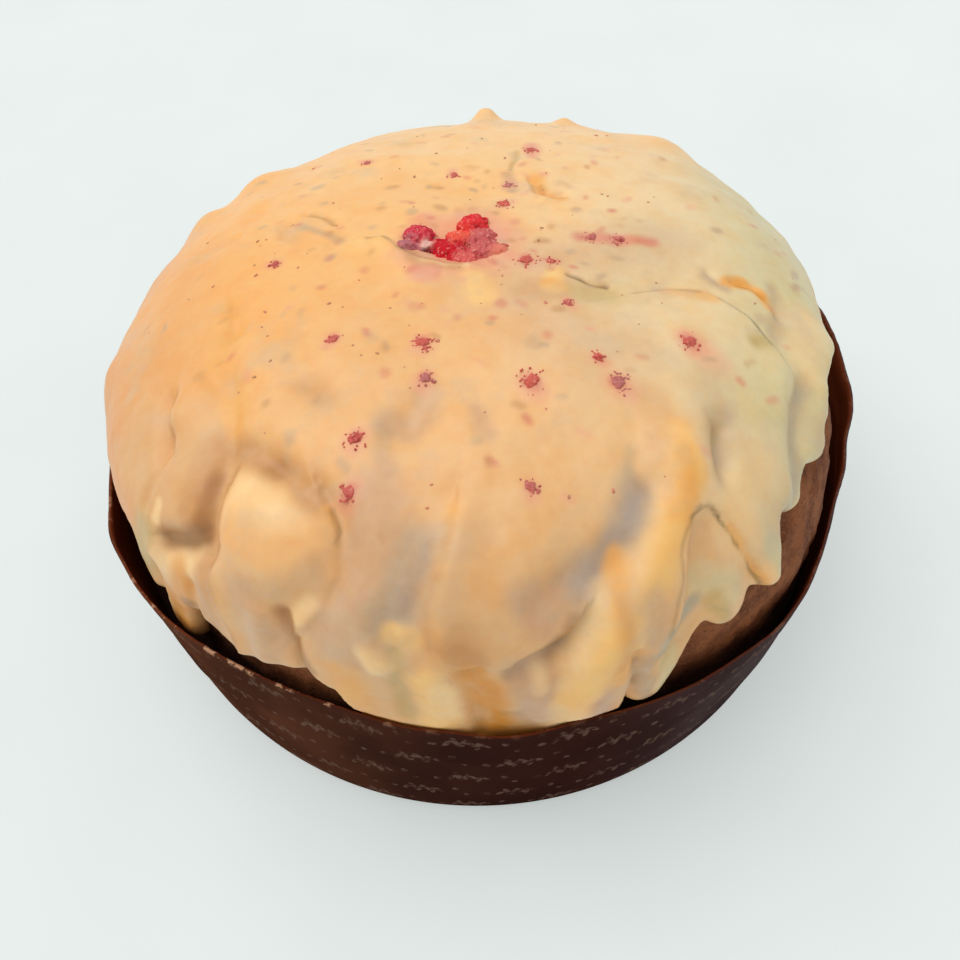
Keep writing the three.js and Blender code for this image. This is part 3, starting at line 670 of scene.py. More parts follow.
# Strokes of colour, the later over the earlier: tone, strength, half width and softness of its edge in
# millimetres, and the route that it follows
PAINT = [
    # Wide fields: the icing's own peach and cream, warmer on the left and cooler green on the right partly
    # as painted warm and cool light, with painted shade along the lower front and painted light on the
    # back of the crown
    ("orange_peach", 1, 26, 44, [(-155, 66), (-172, 60), (168, 58), (150, 60)]),
    ("orange_peach", 0.4, 10, 30, [(-105, 34), (-120, 48), (-100, 60)]),
    ("tan", 0.9, 26, 34, [(-150, 88), (-130, 92), (-100, 92), (-75, 92)]),
    ("light", 0.5, 18, 40, [(60, 40), (90, 40), (125, 42)]),
    ("cream", 1, 24, 36, [(-32, 56), (-5, 52), (18, 58)]),
    ("green_cream", 1, 14, 24, [(-36, 72), (-30, 76), (-15, 69), (5, 68), (25, 72)]),
    ("green_cream", 0.4, 6, 14, [(-38, 40), (0, 44)]),
    ("lilac", 0.45, 8, 16, [(-75, 22), (-66, 36), (-58, 46)]),
    ("orange_peach", 0.45, 14, 26, [(-165, 36), (160, 28), (125, 26), (105, 22)]),
    ("orange_tan", 1, 9, 16, [(-148, 84), (-165, 82), (-178, 82), (165, 78)]),
    ("orange_tan", 0.35, 10, 16, [(-160, 68), (178, 66)]),
    ("tan", 0.4, 16, 24, [(-115, 50), (-95, 58), (-80, 62)]),
    ("lilac", 0.5, 6, 12, [(-25, 26), (-10, 36), (-4, 43)]),
    # The crown
    ("pink", 0.9, 7, 7, [(-160, 12), (-120, 10), (-90, 8), (-20, 3), (100, 3)]),
    ("pink", 0.6, 3, 3, [(172, 15), (150, 16)]),
    ("rose", 0.7, 1.3, 1.6, [(-137, 22), (-128, 21), (-121, 19.5)]),
    # Painted shade under the lip in front of the berry, and a painted highlight along its edge
    ("brown", 0.6, 0.9, 1.3, [(-147, 19.6), (-128, 18.8), (-104, 17)]),
    ("light", 0.8, 0.4, 0.7, [(-147, 17.8), (-136, 18.2), (-116, 17), (-95, 15.4)]),
    ("brown", 0.7, 1.2, 1.6, [(-165, 20), (-150, 18), (-128, 16), (-106, 15)]),
    ("pink", 0.8, 1.6, 2.2, [(-130, 23), (-122, 21)]),
    ("yellow", 0.7, 2.5, 3, [(-90, 20), (-86, 26)]),
    ("brown", 0.4, 3, 3, [(-60, 28), (-50, 32)]),
    ("yellow", 0.8, 2.2, 2.5, [(-48, 30), (-42, 28)]),
    ("amber", 0.6, 1.2, 1.5, [(-50, 28), (-46, 32)]),
    ("olive", 0.5, 3, 4, [(-41, 36), (-37, 39)]),
    ("rose", 0.75, 1.3, 2, [(-3, 28), (-3, 33), (-4, 37), (-2.5, 43)]),
    ("amber", 0.9, 1.3, 1.6, [(37, 30), (45, 28.5), (52, 30), (59, 34)]),
    ("deep_amber", 0.9, 0.6, 0.9, [(38, 30), (45, 28), (53, 31)]),
    ("lilac", 0.8, 1, 1.6, [(66, 26), (69, 29), (73, 33)]),
    ("olive", 0.7, 0.4, 0.8, [(72, 35), (74, 45)]),
    ("pink", 0.8, 1.5, 2, [(68, 43), (71, 48)]),
    ("yellow", 0.5, 3, 4, [(-178, 29), (-176, 24)]),
    ("amber", 0.5, 1.2, 2, [(112, 29)]),
    ("tan", 0.6, 1.6, 3, [(166, 47), (173, 45)]),
    ("grey", 0.6, 0.8, 1.6, [(166, 44), (178, 34)]),
    ("lilac", 0.6, 2.5, 3, [(-101, 51), (-100, 54), (-103, 56), (-107, 56)]),
    ("grey", 0.5, 1.4, 2, [(-108, 57), (-104, 62)]),
    ("lilac", 0.6, 1, 2, [(-90, 53), (-88, 57)]),
    ("brown", 0.5, 1.5, 3, [(-127, 54), (-121, 55)]),
    ("pink", 0.45, 3, 4, [(-38, 56), (-38, 59)]),
    # The left: the big lobe and the folds round it, with painted highlights on the lobe's top and edges,
    # and painted shade in the folds, in the recess beside it and under it
    ("amber", 0.6, 2.2, 4, [(-162, 55), (-153, 56), (-148, 59), (-140, 60.3), (-136, 62), (-131, 65.5)]),
    ("tan", 0.9, 9, 8, [(-145, 73), (-135, 72)]),
    ("brown", 0.6, 3.5, 4, [(-133, 67), (-131, 70), (-130, 74)]),
    ("brown", 0.7, 0.7, 1.2, [(-148, 66), (-145, 68), (-141, 69.5)]),
    ("deep_brown", 0.8, 1.6, 2, [(-130, 70), (-128.5, 73), (-128, 76)]),
    ("deep_brown", 0.8, 2, 2.4, [(-128, 76), (-131, 78), (-135, 80)]),
    # Painted shade in the recess under the slab
    ("dark_shade", 0.45, 1.2, 2.4, [(-128, 77.3), (-131, 79), (-135, 80.8)]),
    ("light", 0.8, 1.2, 1, [(-137, 76.5), (-137, 78.5)]),
    ("olive", 0.8, 3, 4, [(-139, 82), (-141, 90)]),
    ("light", 0.6, 2, 2.5, [(-135, 84.5), (-130.5, 82.5), (-127, 80)]),
    ("deep_amber", 0.7, 3, 3, [(-130, 84), (-132, 94)]),
    ("brown", 0.8, 2.5, 3, [(-126, 80), (-124.5, 90)]),
    ("deep_amber", 0.9, 2.8, 3, [(-133, 91), (-135, 102)]),
    ("deep_brown", 0.9, 1.6, 2, [(-129.5, 89), (-131.5, 101)]),
    ("orange_peach", 0.4, 9, 5, [(-121, 70), (-115, 71)]),
    ("light", 0.7, 3.5, 5, [(-124, 68.5), (-118, 68.5)]),
    ("brown", 0.8, 2.4, 3, [(-130, 65), (-121, 65), (-113, 66.3)]),
    ("deep_brown", 0.5, 1.8, 2.5, [(-122, 65)]),
    (
        "brown", 0.8, 0.6, 1,
        [(-128.5, 67), (-126.5, 72), (-125.5, 76), (-124.5, 80), (-122, 86), (-121, 91)],
    ),
    ("lilac", 0.6, 3.5, 3.5, [(-119, 80), (-116, 86), (-117, 92)]),
    ("grey", 0.4, 1.5, 3, [(-120, 78.5), (-115, 78), (-111, 74)]),
    ("amber", 0.9, 1.3, 1.6, [(-111, 67), (-109.3, 69), (-108.3, 71), (-107.8, 74), (-108.5, 77)]),
    ("light", 0.8, 1.4, 1.5, [(-112, 81), (-110.5, 78.5)]),
    ("deep_brown", 0.8, 1.4, 1.6, [(-114, 81), (-113, 85), (-111, 90)]),
    # Left of the middle: painted shade in the grey and lilac hollows and folds, painted highlights on the
    # drips, and two painted glints
    ("lilac", 0.8, 6, 6, [(-105, 66), (-104, 74), (-106, 82)]),
    ("grey", 0.9, 3.6, 3.5, [(-98, 70), (-99, 75), (-101, 79)]),
    ("brown", 0.8, 1.6, 1.6, [(-97, 75), (-98, 78)]),
    ("cool_grey", 0.6, 2.4, 4, [(-94, 69), (-95.5, 73), (-97.5, 76.5), (-99, 79)]),
    ("olive", 0.6, 1.5, 2, [(-100, 84), (-99, 97)]),
    ("amber", 0.7, 2.5, 3, [(-106, 88), (-105, 97)]),
    # Two small painted glints, a whitish one and an orange one
    ("light", 0.85, 2, 1.8, [(-103, 84), (-101.5, 86.5)]),
    ("amber_light", 0.9, 2.6, 1.6, [(-100, 80.7), (-98, 81)]),
    ("amber", 0.5, 1.6, 2.4, [(-93, 66), (-94, 71), (-96, 76), (-96, 80), (-94, 84)]),
    ("brown", 0.6, 0.8, 1.8, [(-95, 73), (-96.5, 78), (-95.5, 82)]),
    ("tan", 0.8, 4, 5, [(-91, 70), (-90, 78)]),
    ("brown", 0.8, 2.5, 3, [(-93, 82), (-91, 84)]),
    ("yellow", 0.8, 3, 3, [(-96, 88), (-95, 98)]),
    ("amber", 0.8, 2, 3, [(-91, 86), (-89.5, 92)]),
    ("brown", 0.6, 2, 3, [(-92, 79), (-91, 83)]),
    ("deep_amber", 0.8, 2.2, 3, [(-91, 86), (-90, 90)]),
    ("deep_amber", 1, 3.2, 4, [(-89.5, 91), (-88, 103)]),
    ("light", 0.7, 1.6, 2.4, [(-94.5, 90), (-94, 96)]),
    # The middle: painted highlights along the big ridge, and painted shade in the valley beside it and
    # under the folds
    ("grey", 0.8, 3.2, 3.5, [(-67, 68), (-70, 71), (-74, 74), (-78, 75.5)]),
    ("lilac", 0.8, 2.4, 3, [(-75, 75.5), (-79, 76)]),
    ("blue_grey", 0.4, 0.7, 1.6, [(-64, 63), (-67, 66)]),
    ("cool_grey", 0.9, 2.2, 2.8, [(-66, 68.5), (-70, 71), (-73, 73), (-77, 76)]),
    ("grey", 0.6, 2, 2.5, [(-78, 79), (-77, 82)]),
    ("lilac", 0.8, 3.2, 3, [(-84, 76), (-82, 79)]),
    ("deep_brown", 0.6, 1.5, 1.5, [(-85, 85), (-82, 84.2), (-79.5, 82.5), (-78, 80.5)]),
    ("shade", 0.7, 1.8, 2.4, [(-86, 86.8), (-83, 86), (-80.5, 84)]),
    ("lilac", 0.9, 3.4, 3, [(-84, 87), (-83, 97)]),
    ("light", 0.5, 1.2, 2, [(-83, 87), (-83, 90)]),
    ("light", 0.5, 2.4, 3.4, [(-61.5, 69), (-64, 71.5), (-67, 74.5), (-71, 76.5)]),
    ("tan", 0.7, 3.5, 5, [(-56, 58), (-57, 62), (-59, 66)]),
    ("light", 0.7, 3.2, 3, [(-74, 78.5), (-76.5, 84), (-78.5, 91), (-80, 101)]),
    ("amber_light", 0.8, 2.2, 3, [(-74, 82), (-76.5, 88), (-79, 94)]),
    ("yellow", 0.5, 2.4, 3, [(-75, 84), (-77, 90)]),
    ("amber_light", 0.9, 2.8, 3.2, [(-58, 67.5), (-62, 71), (-65, 74), (-68, 78), (-71, 84), (-74, 89)]),
    ("amber", 0.5, 1.2, 2, [(-60, 68.5), (-63, 71.5)]),
    ("amber_light", 0.7, 2, 3, [(-56, 64), (-57.5, 68)]),
    ("amber", 0.8, 1.5, 2, [(-57.5, 66), (-59.5, 70), (-61.5, 73.5)]),
    ("amber", 0.8, 1.6, 2.2, [(-72, 74), (-73, 79), (-73, 85), (-73.2, 92)]),
    ("deep_amber", 0.5, 0.8, 1.6, [(-73, 79), (-73, 89)]),
    ("rose", 0.3, 2, 4, [(-75.5, 95), (-75, 102)]),
    ("lilac", 0.8, 2, 2.5, [(-75.5, 95), (-75, 103)]),
    # Under the arch, and the drips beside it, with painted shade under the arch's edge and on the drips'
    # shaded sides
    ("tan", 0.8, 3.4, 2, [(-60, 76), (-60, 80)]),
    ("green_cream", 0.6, 3, 3, [(-61, 81), (-57, 85)]),
    ("lilac", 0.6, 2.5, 2.5, [(-69, 80), (-68.5, 86)]),
    ("blue_grey", 1, 1.5, 2, [(-67.5, 89.5), (-65, 86.5), (-62, 84.5)]),
    ("olive", 0.6, 1.4, 2, [(-59.5, 85.5), (-58, 89)]),
    ("grey", 0.8, 1.4, 1.6, [(-69.5, 90), (-69, 98), (-69, 104)]),
    ("green_cream", 0.7, 2, 2, [(-66, 92), (-66, 101)]),
    ("green_cream", 0.9, 1.8, 1.4, [(-50, 81), (-48.5, 86), (-48, 90)]),
    ("amber", 0.8, 0.7, 0.9, [(-54.5, 77), (-53.5, 81), (-51.5, 87), (-49, 91)]),
    # The right, with painted shade in the grooves and folds and painted highlights on the swells
    ("grey", 0.75, 1.4, 2.6, [(-53, 71), (-50, 68), (-48, 66.5), (-45, 65.5)]),
    ("olive", 0.7, 0.9, 1.3, [(-49, 67), (-47, 66)]),
    ("blue_grey", 0.9, 1.5, 2.4, [(-26, 72), (-33, 72), (-37, 73.5), (-40, 77), (-44, 79.5), (-46, 81.5)]),
    ("blue_grey", 0.5, 4, 6, [(-48, 70), (-45, 74), (-48, 80)]),
    ("grey", 0.35, 4, 6, [(-44, 61), (-48, 66)]),
    ("grey", 0.4, 2, 3, [(-33, 78), (-27, 77)]),
    ("light", 0.6, 4, 6, [(-22, 70), (-14, 70)]),
    ("light", 0.5, 4, 6, [(-50, 74), (-45, 72)]),
    ("olive", 0.8, 1.4, 2, [(-27, 62.5), (-24, 64)]),
    ("amber", 0.7, 1.5, 2, [(-25, 48), (-22, 51), (-21, 54)]),
    ("amber", 1, 1.7, 1.2, [(-13, 56.5), (-11.7, 58.5), (-12.5, 61), (-14, 63.5)]),
    ("deep_amber", 1, 0.8, 1, [(-13, 58), (-13, 62)]),
    ("grey", 0.7, 1.2, 1.6, [(-13.5, 52.5), (-15.5, 56)]),
    ("grey", 0.6, 1.2, 2.4, [(-21, 65), (-15, 65), (-9, 63.5)]),
    ("grey", 0.8, 0.7, 1.2, [(-6, 67), (-4, 68.3)]),
    # Shade and thin amber along the lower edge
    ("brown", 0.8, 2.5, 4, [(-124, 92), (-120, 94), (-115, 96), (-110, 98), (-106, 100)]),
    ("deep_brown", 0.9, 1.6, 2.6, [(-116, 94), (-113, 95), (-110, 97)]),
    ("dark_shade", 0.8, 0.8, 1.8, [(-115, 95), (-112, 97)]),
    ("amber", 0.8, 1.6, 2.5, [(-104, 100), (-98, 101), (-92, 101.5), (-84, 102), (-77, 102)]),
    ("deep_amber", 1, 1.6, 2.4, [(-106, 100.5), (-98, 102), (-92, 102.5), (-84, 103), (-77, 103)]),
    # Thin dark lines in the folds: painted shade in the creases
    ("crease_shade", 0.35, 0.3, 0.7, [(-66.5, 88), (-66, 84), (-64.5, 79), (-64, 76), (-62.3, 74), (-59, 72.6)]),
    ("crease_shade", 0.6, 0.3, 0.6, [(-61, 73), (-59, 72.6), (-57, 73), (-55.5, 75)]),
    ("crease_shade", 0.7, 0.2, 0.6, [(-55.5, 75), (-54.5, 79), (-53, 84), (-51.5, 88)]),
    ("crease_shade", 0.8, 0.35, 0.7, [(-37, 30.5), (-35, 34), (-32, 38)]),
    ("crease_shade", 0.7, 0.3, 0.7, [(-20.5, 55), (-21, 59), (-21.7, 61.5), (-23, 63), (-25, 64.5)]),
    ("crease_shade", 0.5, 0.3, 0.8, [(-30, 43), (-25, 47), (-21, 52)]),
    ("crease_shade", 0.6, 0.35, 0.8, [(-180, 28), (177, 25), (-175, 22), (-162, 20)]),
    ("crease_shade", 0.4, 0.35, 0.9, [(158, 45), (160, 41), (165, 37)]),
    ("crease_shade", 0.5, 0.3, 0.8, [(-111, 67), (-109.5, 69.5), (-109, 71)]),
    ("crease_shade", 0.4, 0.4, 0.9, [(-71, 90), (-70.6, 96)]),
]
# Small smudges of raspberry dust, drawn at random over the upper part
SMUDGES = {
    "count": 220,
    "falls": (8, 70),
    "half": (0.2, 1.1),
    "soft": 1.2,
    "strength": (0.25, 0.75),
    "length": 1.5,
    "tones": ("rose", "brown", "pink", "grey"),
    "seed": 19,
}
# Stains round each raspberry crumb: tone, strength, half width and softness for each millimetre of the
# crumb's half length, and how many degrees they run down
STAINS = [("pink", 0.7, 0.8, 1.4, 1), ("rose", 0.6, 0.7, 0.5, 0)]
# A power below 1 that spreads random falls more towards the side
OUTWARD = 0.8
# How far the strokes' edges wander, the size of the wandering and a seed for each direction
WANDER = 1.1
WANDER_SIZE = 6
WANDER_SEEDS = (3, 11, 23)


def stains():
    """Pink round each raspberry crumb"""
    for azimuth, fall, size, _ in CRUMBS:
        for tone, strength, half, soft, run in STAINS:
            yield tone, strength, size * half, size * soft, [(azimuth, fall), (azimuth, fall + run)]


def smudges():
    draw = drawer(SMUDGES["seed"])
    tones = SMUDGES["tones"]
    for _ in range(SMUDGES["count"]):
        azimuth = 360 * next(draw) - 180
        fall = between(*SMUDGES["falls"], next(draw) ** OUTWARD)
        half = between(*SMUDGES["half"], next(draw) ** 2)
        tone = tones[int(len(tones) * next(draw))]
        route = [(azimuth, fall), (azimuth + SMUDGES["length"] * next(draw), fall + 0.5)]
        strength = between(*SMUDGES["strength"], next(draw))
        yield tone, strength, half, SMUDGES["soft"], route


def painted(places):
    """The strokes' colours at places, as linear red, green and blue"""
    base, normals = bread_points(places), dome_normals(places)
    wander = np.stack([noise_at(base, WANDER_SIZE, seed) for seed in WANDER_SEEDS], axis=1)
    base = base + WANDER * wander
    tones = {name: np.array(colour(*tone)[:3]) for name, tone in TONES.items()}
    paint = np.tile(tones["peach"], (len(places), 1))
    for tone, strength, half, soft, route in [*PAINT, *stains(), *smudges()]:
        distance, _ = nearest(base, normals, route, within=half + soft)
        cover = strength * smooth_step(half + soft, max(0, half - soft / 2), distance)
        paint += (tones[tone] - paint) * cover[:, None]
    return paint


def icing_material():
    shader = Shader("cream_icing")
    paint = shader.node("ShaderNodeAttribute", {"attribute_name": "paint"}).outputs["Color"]
    mottle = shader.grain(9, detail=4, rough=0.6)
    warmth = shader.spread(mottle, 0.35, 0.7, 0, 0.35)
    warm = shader.mix(warmth, paint, colour(255, 222, 170), "MULTIPLY")
    cool = shader.spread(shader.grain(15, detail=4, rough=0.6), 0.5, 0.72, 0, 0.4)
    mottled = shader.mix(cool, warm, colour(208, 182, 148))
    fine = shader.grain(2.2, detail=3)
    dusty = shader.spread(fine, 0.3, 0.7, 0, 0.12)
    tone = shader.mix(dusty, mottled, colour(255, 235, 205), "SOFT_LIGHT")
    relief = shader.bump(fine, 0.05)
    return shader.finish(
        Base_Color=tone,
        Roughness=0.38,
        Subsurface_Weight=0.15,
        Subsurface_Radius=(1.0, 0.55, 0.25),
        Subsurface_Scale=0.003,
        Specular_IOR_Level=0.35,
        Normal=relief,
    )


def add_colour(piece, name, values):
    field = piece.data.attributes.new(name, "FLOAT_COLOR", "POINT")
    whole = np.ones((len(piece.data.vertices), 4), np.float32)
    whole[: len(values), :3] = values
    field.data.foreach_set("color", whole.ravel())


def make_icing():
    points, faces, places = icing_mesh()
    piece = mesh_object("icing_coat", points, faces)
    add_colour(piece, "paint", painted(places))
    return ready(piece, icing_material(), "icing", "icing")


# Bread

BREAD_RINGS = 130
# The share of the rings that the dome takes, and a power below 1 that sets them closer lower down
DOME_SHARE = 0.76
DOME_SPREAD = 0.95
# Coarse and fine unevenness of the crust: size of the lumps and how far they stand out or in
CRUST = [(9, 0.8), (3.2, 0.5), (1.3, 0.25)]
# How far the crust's mean lies below the solid's, for each millimetre of unevenness
CRUST_SUNK = 0.4
# The heights between which the unevenness comes in, and the depths under the rim over which painted shade
# darkens the crust in the crevice
CRUST_HEIGHTS = (20, 45)
CREVICE_SHADE_DEPTHS = (2, 12)
# How far the bread lies lower under the icing, and how far in from its edge
UNDER_ICING = 1.2
UNDER_ICING_FROM = 1.5


def make_bread():
    unit_flat, triangles = disc(BREAD_RINGS)
    share = np.hypot(*unit_flat.T)
    azimuth = np.degrees(np.arctan2(unit_flat[:, 1], unit_flat[:, 0]))
    side = np.stack([azimuth, np.full(len(azimuth), 90.0)], axis=1)
    to_floor = (bread_points(side)[:, 2] - CASE["paper"] - GAP) / side_length(azimuth)
    on_dome = 90 * np.minimum(share / DOME_SHARE, 1) ** DOME_SPREAD
    fall = on_dome + to_floor * np.maximum(0, share - DOME_SHARE) / (1 - DOME_SHARE)
    places = np.stack([azimuth, fall], axis=1)
    points, normals = bread_points(places), dome_normals(places)
    inside = inside_icing(places, points, normals)
    lift = -UNDER_ICING * smooth_step(0, UNDER_ICING_FROM, inside)
    free = smooth_step(1, -1, inside) * smooth_step(*CRUST_HEIGHTS, points[:, 2])
    shown = np.flatnonzero(free > 0)
    for size, rise in CRUST:
        lift[shown] += rise * free[shown] * (noise_at(points[shown], size) - CRUST_SUNK)
    points += normals * lift[:, None]
    rim = share > 1 - 0.5 / BREAD_RINGS
    height = points[rim, 2].mean()
    points[rim, 2] = height
    centre = len(points)
    points = np.vstack([points, [0, 0, height]])
    last = np.flatnonzero(rim)
    under = np.stack([np.roll(last, -1), last, np.full(len(last), centre)], axis=1)
    piece = mesh_object("loaf", points, np.vstack([triangles, under]))
    # A field for the painted shade deep in the crevice under the rim
    add_field(piece, "crevice_shade", smooth_step(*CREVICE_SHADE_DEPTHS, CASE["height"] - points[:, 2]))
    return ready(piece, crust_material(), "crust", "bread")


def crust_material():
    shader = Shader("chocolate_crust")
    speckle = shader.grain(1.1, detail=4, rough=0.7)
    patches = shader.grain(7, detail=3)
    base = shader.mix(shader.spread(patches, 0.35, 0.65), colour(112, 58, 26), colour(146, 86, 46))
    tone = shader.mix(shader.spread(speckle, 0.55, 0.75), base, colour(170, 110, 66))
    tone = shader.mix(shader.spread(speckle, 0.45, 0.3), tone, colour(54, 24, 11))
    # Painted shade: the crust darkens deep in the crevice
    tone = shader.mix(shader.math("MULTIPLY", shader.field("crevice_shade"), 0.85), tone, colour(52, 22, 11))
    relief = shader.bump(shader.grain(0.9, detail=4, rough=0.7), 0.5)
    return shader.finish(Base_Color=tone, Roughness=0.85, Normal=relief, Specular_IOR_Level=0.3)


# The paper case

CASE_STEPS = 960
WALL_LEVELS = 44
# The floor: the radius of its inner ring, and how far in from the wall its flat part ends
FLOOR_RING = 60
FLOOR_INSET = 2.5
# The rim lies this far below the solid's, and frays by these rises and sizes, each with a seed
RIM_BELOW = 0.5
FRAY = [(0.35, 2.2, 5), (0.3, 7, 9)]
# Dents and upright creases of the wall: rise, size, seed and the shares of the height between which
# they come in. Creases are drawn out by squeezing the plan.
DENTS = (0.5, 16, 3, 0, 0.3)
CREASES = (0.35, 1.6, 7, 0.1, 0.9)
SQUEEZE = (0.12, 0.12, 1)
WALL_INSET = 0.2
# A radius that only the wall lies outside
WALL_FROM = 90
# Print: how many sprigs go round, and the rows' height
PRINT = {"around": 26, "row": 12.5}
# A cell is about twice as wide as it is high
CELL_WIDTH = 2.0
# Each leaf or dot in a cell: its middle, its lean in degrees, half its length and half its width
SPRIG = (
    (0.19, 0.44, 62, 0.17, 0.06),
    (0.26, 0.56, 105, 0.22, 0.07),
    (0.33, 0.47, 74, 0.2, 0.06),
    (0.4, 0.56, 118, 0.2, 0.07),
    (0.47, 0.44, 84, 0.2, 0.06),
    (0.54, 0.52, 135, 0.14, 0.06),
    (0.05, 0.4, 0, 0.08, 0.08),
    (0.72, 0.66, 0, 0.07, 0.09),
    (0.83, 0.3, 0, 0.06, 0.06),
)
# Where the torn rim shows pale paper and icing, by azimuth
TORN = [
    (-180, 0.2), (-160, 0.5), (-145, 0.6), (-133, 1), (-112, 1), (-104, 0.3), (-90, 0.1), (-50, 0.15),
    (0, 0.1), (90, 0.2), (180, 0.2),
]
# How far under the rim the torn edge reaches, and where it is at its full strength
TORN_DEPTHS = (2.2, 0.4)


def uneven(points, share, rise, size, seed, low, high):
    return rise * noise_at(points, size, seed) * smooth_step(low, high, share)


def case_rings():
    """Rings of the case, from the middle of its underside over the rim to the middle of its floor"""
    azimuth = -180 + 360 * np.arange(CASE_STEPS) / CASE_STEPS
    a = np.radians(azimuth)
    round_about = np.stack([np.cos(a), np.sin(a), np.zeros(CASE_STEPS)], axis=1)
    fray = sum(rise * noise_at(round_about * 100, size, seed) for rise, size, seed in FRAY)
    top = CASE["height"] - RIM_BELOW + fray
    paper = CASE["paper"]

    def floor_ring(radius, height):
        return round_about * radius + [0, 0, height]

    def wall_ring(height, inset):
        share = height / CASE["height"]
        points = round_about * 100 + np.outer(height, [0, 0, 1])
        relief = uneven(points, share, *DENTS) + uneven(points * SQUEEZE, share, *CREASES)
        radius = case_radius(azimuth, height) - inset - WALL_INSET + relief
        return round_about * radius[:, None] + np.outer(height, [0, 0, 1])

    flat_radius = CASE["floor_radius"] - FLOOR_INSET
    levels = np.linspace(0, 1, WALL_LEVELS)
    return [
        floor_ring(FLOOR_RING, 0),
        floor_ring(flat_radius, 0),
        *[wall_ring(level * top, 0) for level in levels],
        wall_ring(top + 0.12, paper / 2),
        *[wall_ring(paper + level * (top - paper), paper) for level in levels[:0:-1]],
        floor_ring(flat_radius, paper),
        floor_ring(FLOOR_RING, paper),
    ]


def make_case():
    rings = case_rings()
    points = np.vstack([*rings, [[0, 0, 0], [0, 0, CASE["paper"]]]])
    step = np.arange(CASE_STEPS)
    after = (step + 1) % CASE_STEPS
    faces = []
    for row in range(len(rings) - 1):
        low, high = row * CASE_STEPS, (row + 1) * CASE_STEPS
        faces += np.stack([low + step, low + after, high + after, high + step], axis=1).tolist()
    bottom, inner = len(points) - 2, len(points) - 1
    final = (len(rings) - 1) * CASE_STEPS
    faces += np.stack([after, step, np.full(CASE_STEPS, bottom)], axis=1).tolist()
    faces += np.stack([final + step, final + after, np.full(CASE_STEPS, inner)], axis=1).tolist()
    piece = mesh_object("baking_case", points, faces)
    out = np.hypot(points[:, 0], points[:, 1])
    around = np.degrees(np.arctan2(points[:, 1], points[:, 0]))
    on_wall = out > WALL_FROM
    torn = table_at(TORN, around) * smooth_step(*TORN_DEPTHS, CASE["height"] - points[:, 2]) * on_wall
    inward = np.repeat([0.0] * (WALL_LEVELS + 2) + [0.5] + [1.0] * (WALL_LEVELS + 1), CASE_STEPS)
    add_field(piece, "torn", torn)
    add_field(piece, "inside", inward)
    return ready(piece, paper_material(), "paper", "paper_case")


def case_print(shader):
    """A mask of sprigs and dots in staggered rows round the case"""
    parts = shader.node("ShaderNodeSeparateXYZ", Vector=shader.place())
    turn = shader.math("ARCTAN2", parts.outputs["Y"], parts.outputs["X"])
    along = shader.math("MULTIPLY", turn, PRINT["around"] / (2 * math.pi))
    up = shader.math("DIVIDE", parts.outputs["Z"], PRINT["row"] * MM)
    row = shader.math("FLOOR", up)
    stagger = shader.math("MULTIPLY", shader.math("PINGPONG", row, 1.0), 0.5)
    x = shader.math("FRACT", shader.math("ADD", along, stagger))
    y = shader.math("FRACT", up)
    whole = None
    for at_x, at_y, lean, half_length, half_width in SPRIG:
        dx = shader.math("MULTIPLY", shader.math("SUBTRACT", x, at_x), CELL_WIDTH)
        dy = shader.math("SUBTRACT", y, at_y)
        c, s = math.cos(math.radians(lean)), math.sin(math.radians(lean))
        length = shader.math("ADD", shader.math("MULTIPLY", dx, c), shader.math("MULTIPLY", dy, s))
        width = shader.math("SUBTRACT", shader.math("MULTIPLY", dy, c), shader.math("MULTIPLY", dx, s))
        far = shader.math(
            "ADD",
            shader.math("POWER", shader.math("ABSOLUTE", shader.math("DIVIDE", length, half_length)), 2.0),
            shader.math("POWER", shader.math("ABSOLUTE", shader.math("DIVIDE", width, half_width)), 2.0),
        )
        mark = shader.spread(far, 1.5, 0.5)
        whole = mark if whole is None else shader.math("MAXIMUM", whole, mark)
    return whole


def paper_material():
    shader = Shader("brown_baking_paper")
    parts = shader.node("ShaderNodeSeparateXYZ", Vector=shader.place())
    # Painted light: a warmer, lighter brown towards the left, and a painted greyish reflection towards the
    # right
    warm_light_left = shader.spread(parts.outputs["X"], 10 * MM, -95 * MM)
    cool_sheen_right = shader.spread(parts.outputs["X"], 20 * MM, 95 * MM)
    tone = shader.mix(warm_light_left, colour(57, 31, 26), colour(102, 62, 43))
    tone = shader.mix(cool_sheen_right, tone, colour(86, 76, 78))
    cloudy = shader.spread(shader.grain(24, detail=4), 0.35, 0.65, 0, 0.5)
    tone = shader.mix(cloudy, tone, colour(40, 22, 20))
    worn = shader.spread(shader.grain(1.6, detail=4), 0.38, 0.62, 0.05, 0.62)
    printed = shader.math("MULTIPLY", case_print(shader), worn)
    on_outside = shader.math("SUBTRACT", 1.0, shader.field("inside"))
    tone = shader.mix(shader.math("MULTIPLY", printed, on_outside), tone, colour(116, 92, 80))
    tone = shader.mix(shader.field("inside"), tone, colour(112, 54, 30))
    patches = shader.spread(shader.grain(4.5, detail=5, rough=0.7), 0.52, 0.6)
    bare = shader.math("MULTIPLY", shader.field("torn"), patches)
    tone = shader.mix(bare, tone, colour(196, 150, 118))
    relief = shader.bump(shader.grain(1.0, detail=3), 0.08)
    return shader.finish(Base_Color=tone, Roughness=0.6, Normal=relief, Specular_IOR_Level=0.0)


# Raspberry

